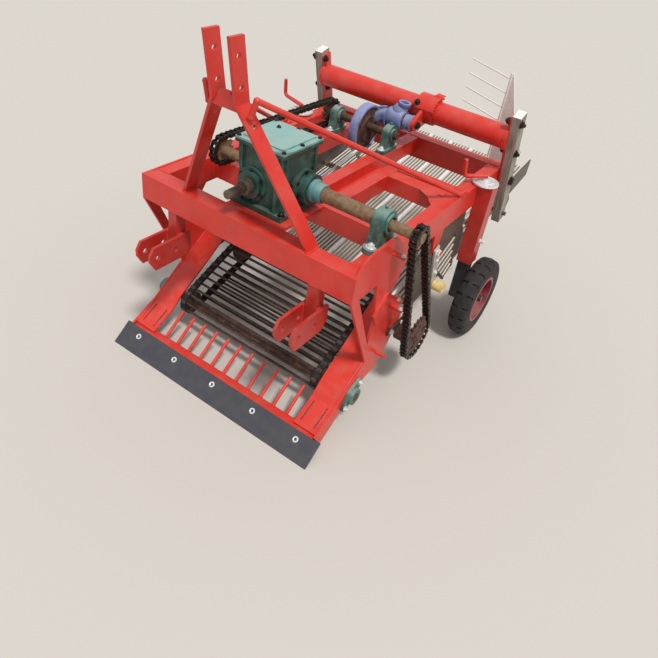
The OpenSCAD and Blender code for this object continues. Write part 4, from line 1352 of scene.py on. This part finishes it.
SLOT_FINISHES = {
    "frame_red": FRAME_RED, "dark_red": SHADED_RED, "share_steel": SHARE_STEEL,
    "cast_green": GEARBOX_GREEN, "pillow_green": PILLOW_GREEN, "shaft_rust": SHAFT_STEEL,
    "chain_oil": CHAIN_STEEL, "web_steel": WEB_STEEL,
    "violet_cast": VIOLET_CAST, "galvanised": DULL_ZINC, "board_wood": BEECH, "cap_yellow": NYLON,
    "leg_black": LEG_BLACK, "rim_red": RIM_RED, "tyre_black": RUBBER, "zinc_bright": BRIGHT_ZINC,
}
# Nodes whose own finish differs from their slot's usual one
NODE_FINISHES = {
    "gearbox_lid": LID_GREEN, "sieve_deck": SIEVE_ZINC, "sieve_sides": SHADE_DARK_SIDE_SHEET, "sieve_fence": FENCE_ZINC,
    "eccentric_shaft": DARK_STEEL, "drive_shaft": DARK_STEEL, "drive_bearings": DARK_STEEL,
    "front_roller": DARK_STEEL,
}
# Finishes that only added pieces wear
FITTING_FINISHES = (BRIGHT_ZINC, SPLINE_STEEL, SLEEVE_GREEN, GRILLE_ZINC, CLIP_STEEL)


@dataclass
class Studio:
    """Floor, lamps, world and the camera of the photograph's view."""

    camera_at: Point = (1.2569, -2.3225, 1.9117)
    azimuth_deg: float = 29.77
    elevation_deg: float = 36.0
    roll_deg: float = 9.01
    focal_px: float = 623.5
    centre_row_px: float = 292.5
    floor_size: float = 60.0
    sun_from: Point = (0.42, -0.26, 0.87)
    sun_strength: float = 2.3
    sun_width_deg: float = 9.0
    sky: Colour = (0.92, 0.95, 1.0, 1.0)
    sky_strength: float = 0.6

    def camera(self) -> None:
        """Make the camera, with the photograph's lens and framing."""
        data = bpy.data.cameras.new("photo_camera")
        data.sensor_width = 36.0
        data.lens = self.focal_px / PHOTO_PX * data.sensor_width
        data.shift_y = (self.centre_row_px - PHOTO_PX / 2) / PHOTO_PX
        camera = bpy.data.objects.new("photo_camera", data)
        look = Euler((math.radians(90 - self.elevation_deg), 0, math.radians(self.azimuth_deg)))
        roll = Matrix.Rotation(math.radians(self.roll_deg), 4, "Z")
        camera.matrix_world = Matrix.Translation(self.camera_at) @ look.to_matrix().to_4x4() @ roll
        bpy.context.scene.collection.objects.link(camera)
        bpy.context.scene.camera = camera

    def floor(self) -> None:
        """Lay the pale floor, which also closes the view behind."""
        reach = self.floor_size / 2
        data = bpy.data.meshes.new("floor")
        corners = [(-reach, -reach, 0), (reach, -reach, 0), (reach, reach, 0), (-reach, reach, 0)]
        data.from_pydata(corners, [], [(0, 1, 2, 3)])
        graph = new_graph("pale_screed")
        data.materials.append(graph.finish(graph.add("ShaderNodeBsdfPrincipled", {
            "Base Color": srgb("#cdc6bb"), "Roughness": 0.85,
        })))
        floor = bpy.data.objects.new("floor", data)
        bpy.context.scene.collection.objects.link(floor)

    def lamps(self) -> None:
        """Light the machine softly from high on the front right, with a sky's fill."""
        sun_data = bpy.data.lights.new("sun", "SUN")
        sun_data.energy = self.sun_strength
        sun_data.angle = math.radians(self.sun_width_deg)
        sun = bpy.data.objects.new("sun", sun_data)
        sun.rotation_euler = Vector(self.sun_from).to_track_quat("Z", "Y").to_euler()
        bpy.context.scene.collection.objects.link(sun)
        world = bpy.data.worlds.new("sky")
        bpy.context.scene.world = world
        world.use_nodes = True
        background = world.node_tree.nodes["Background"]
        background.inputs["Color"].default_value = self.sky
        background.inputs["Strength"].default_value = self.sky_strength

    def build(self) -> None:
        """Build the whole stage."""
        self.camera()
        self.floor()
        self.lamps()
        bpy.context.scene.view_settings.view_transform = "Standard"


def dress_nodes(frame: dict) -> dict[str, Material]:
    """Give every CAD node its finish.


    Returns:
        The built materials by finish name.
    """
    made: dict[str, Material] = {}
    slots = {row["node"]: row["material_slot"] for row in frame["record"]["subparts"]}
    for node, obj in frame["nodes"].items():
        finish = NODE_FINISHES.get(node, SLOT_FINISHES[slots[node]])
        if finish.name not in made:
            made[finish.name] = finish.build()
        obj.data.materials.clear()
        obj.data.materials.append(made[finish.name])
        LOG.info("dressed %s in %s", node, finish.name)
    for finish in FITTING_FINISHES:
        if finish.name not in made:
            made[finish.name] = finish.build()
    return made


def main() -> None:
    """Set the stage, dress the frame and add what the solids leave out."""
    logging.basicConfig(level=logging.INFO, format="%(message)s")
    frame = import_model()
    Studio().build()
    made = dress_nodes(frame)
    zinc, chain = made[BRIGHT_ZINC.name], made[CHAIN_STEEL.name]
    for name, node, first_radius, second, second_radius, x in (
        ("elevator_roller_chain", "chain_right", 38.0, AT.drive_axis, 92.0, 583.0),
        ("sieve_roller_chain", "chain_left", 54.0, AT.eccentric_axis, 57.0, -308.0),
    ):
        RollerChain(name, node, AT.cross_axis, first_radius, second, second_radius, x).build(chain)
    for side, name in ((-1, "left"), (1, "right")):
        DepthTyre(side, f"tyre_{name}", f"wheel_{name}").build(made[RUBBER.name])
    WebClips().build(made[CLIP_STEEL.name])
    StrapCasting().build(made[VIOLET_CAST.name], made[DARK_STEEL.name], made[FRAME_RED.name])
    GrilleRods().build(made[GRILLE_ZINC.name])
    DepthCranks().build(made[FRAME_RED.name], zinc)
    GearboxFittings().build(made[SLEEVE_GREEN.name], chain)
    SplinedInput().build(made[SPLINE_STEEL.name])
    Fasteners().build(zinc, chain)
    LEG_SCREWS.build(zinc, "zinc_bright")
    BOARD_PINS.build(chain, "chain_oil")
    WeldBeads().build(made[FRAME_RED.name])


if __name__ == "__main__":
    main()
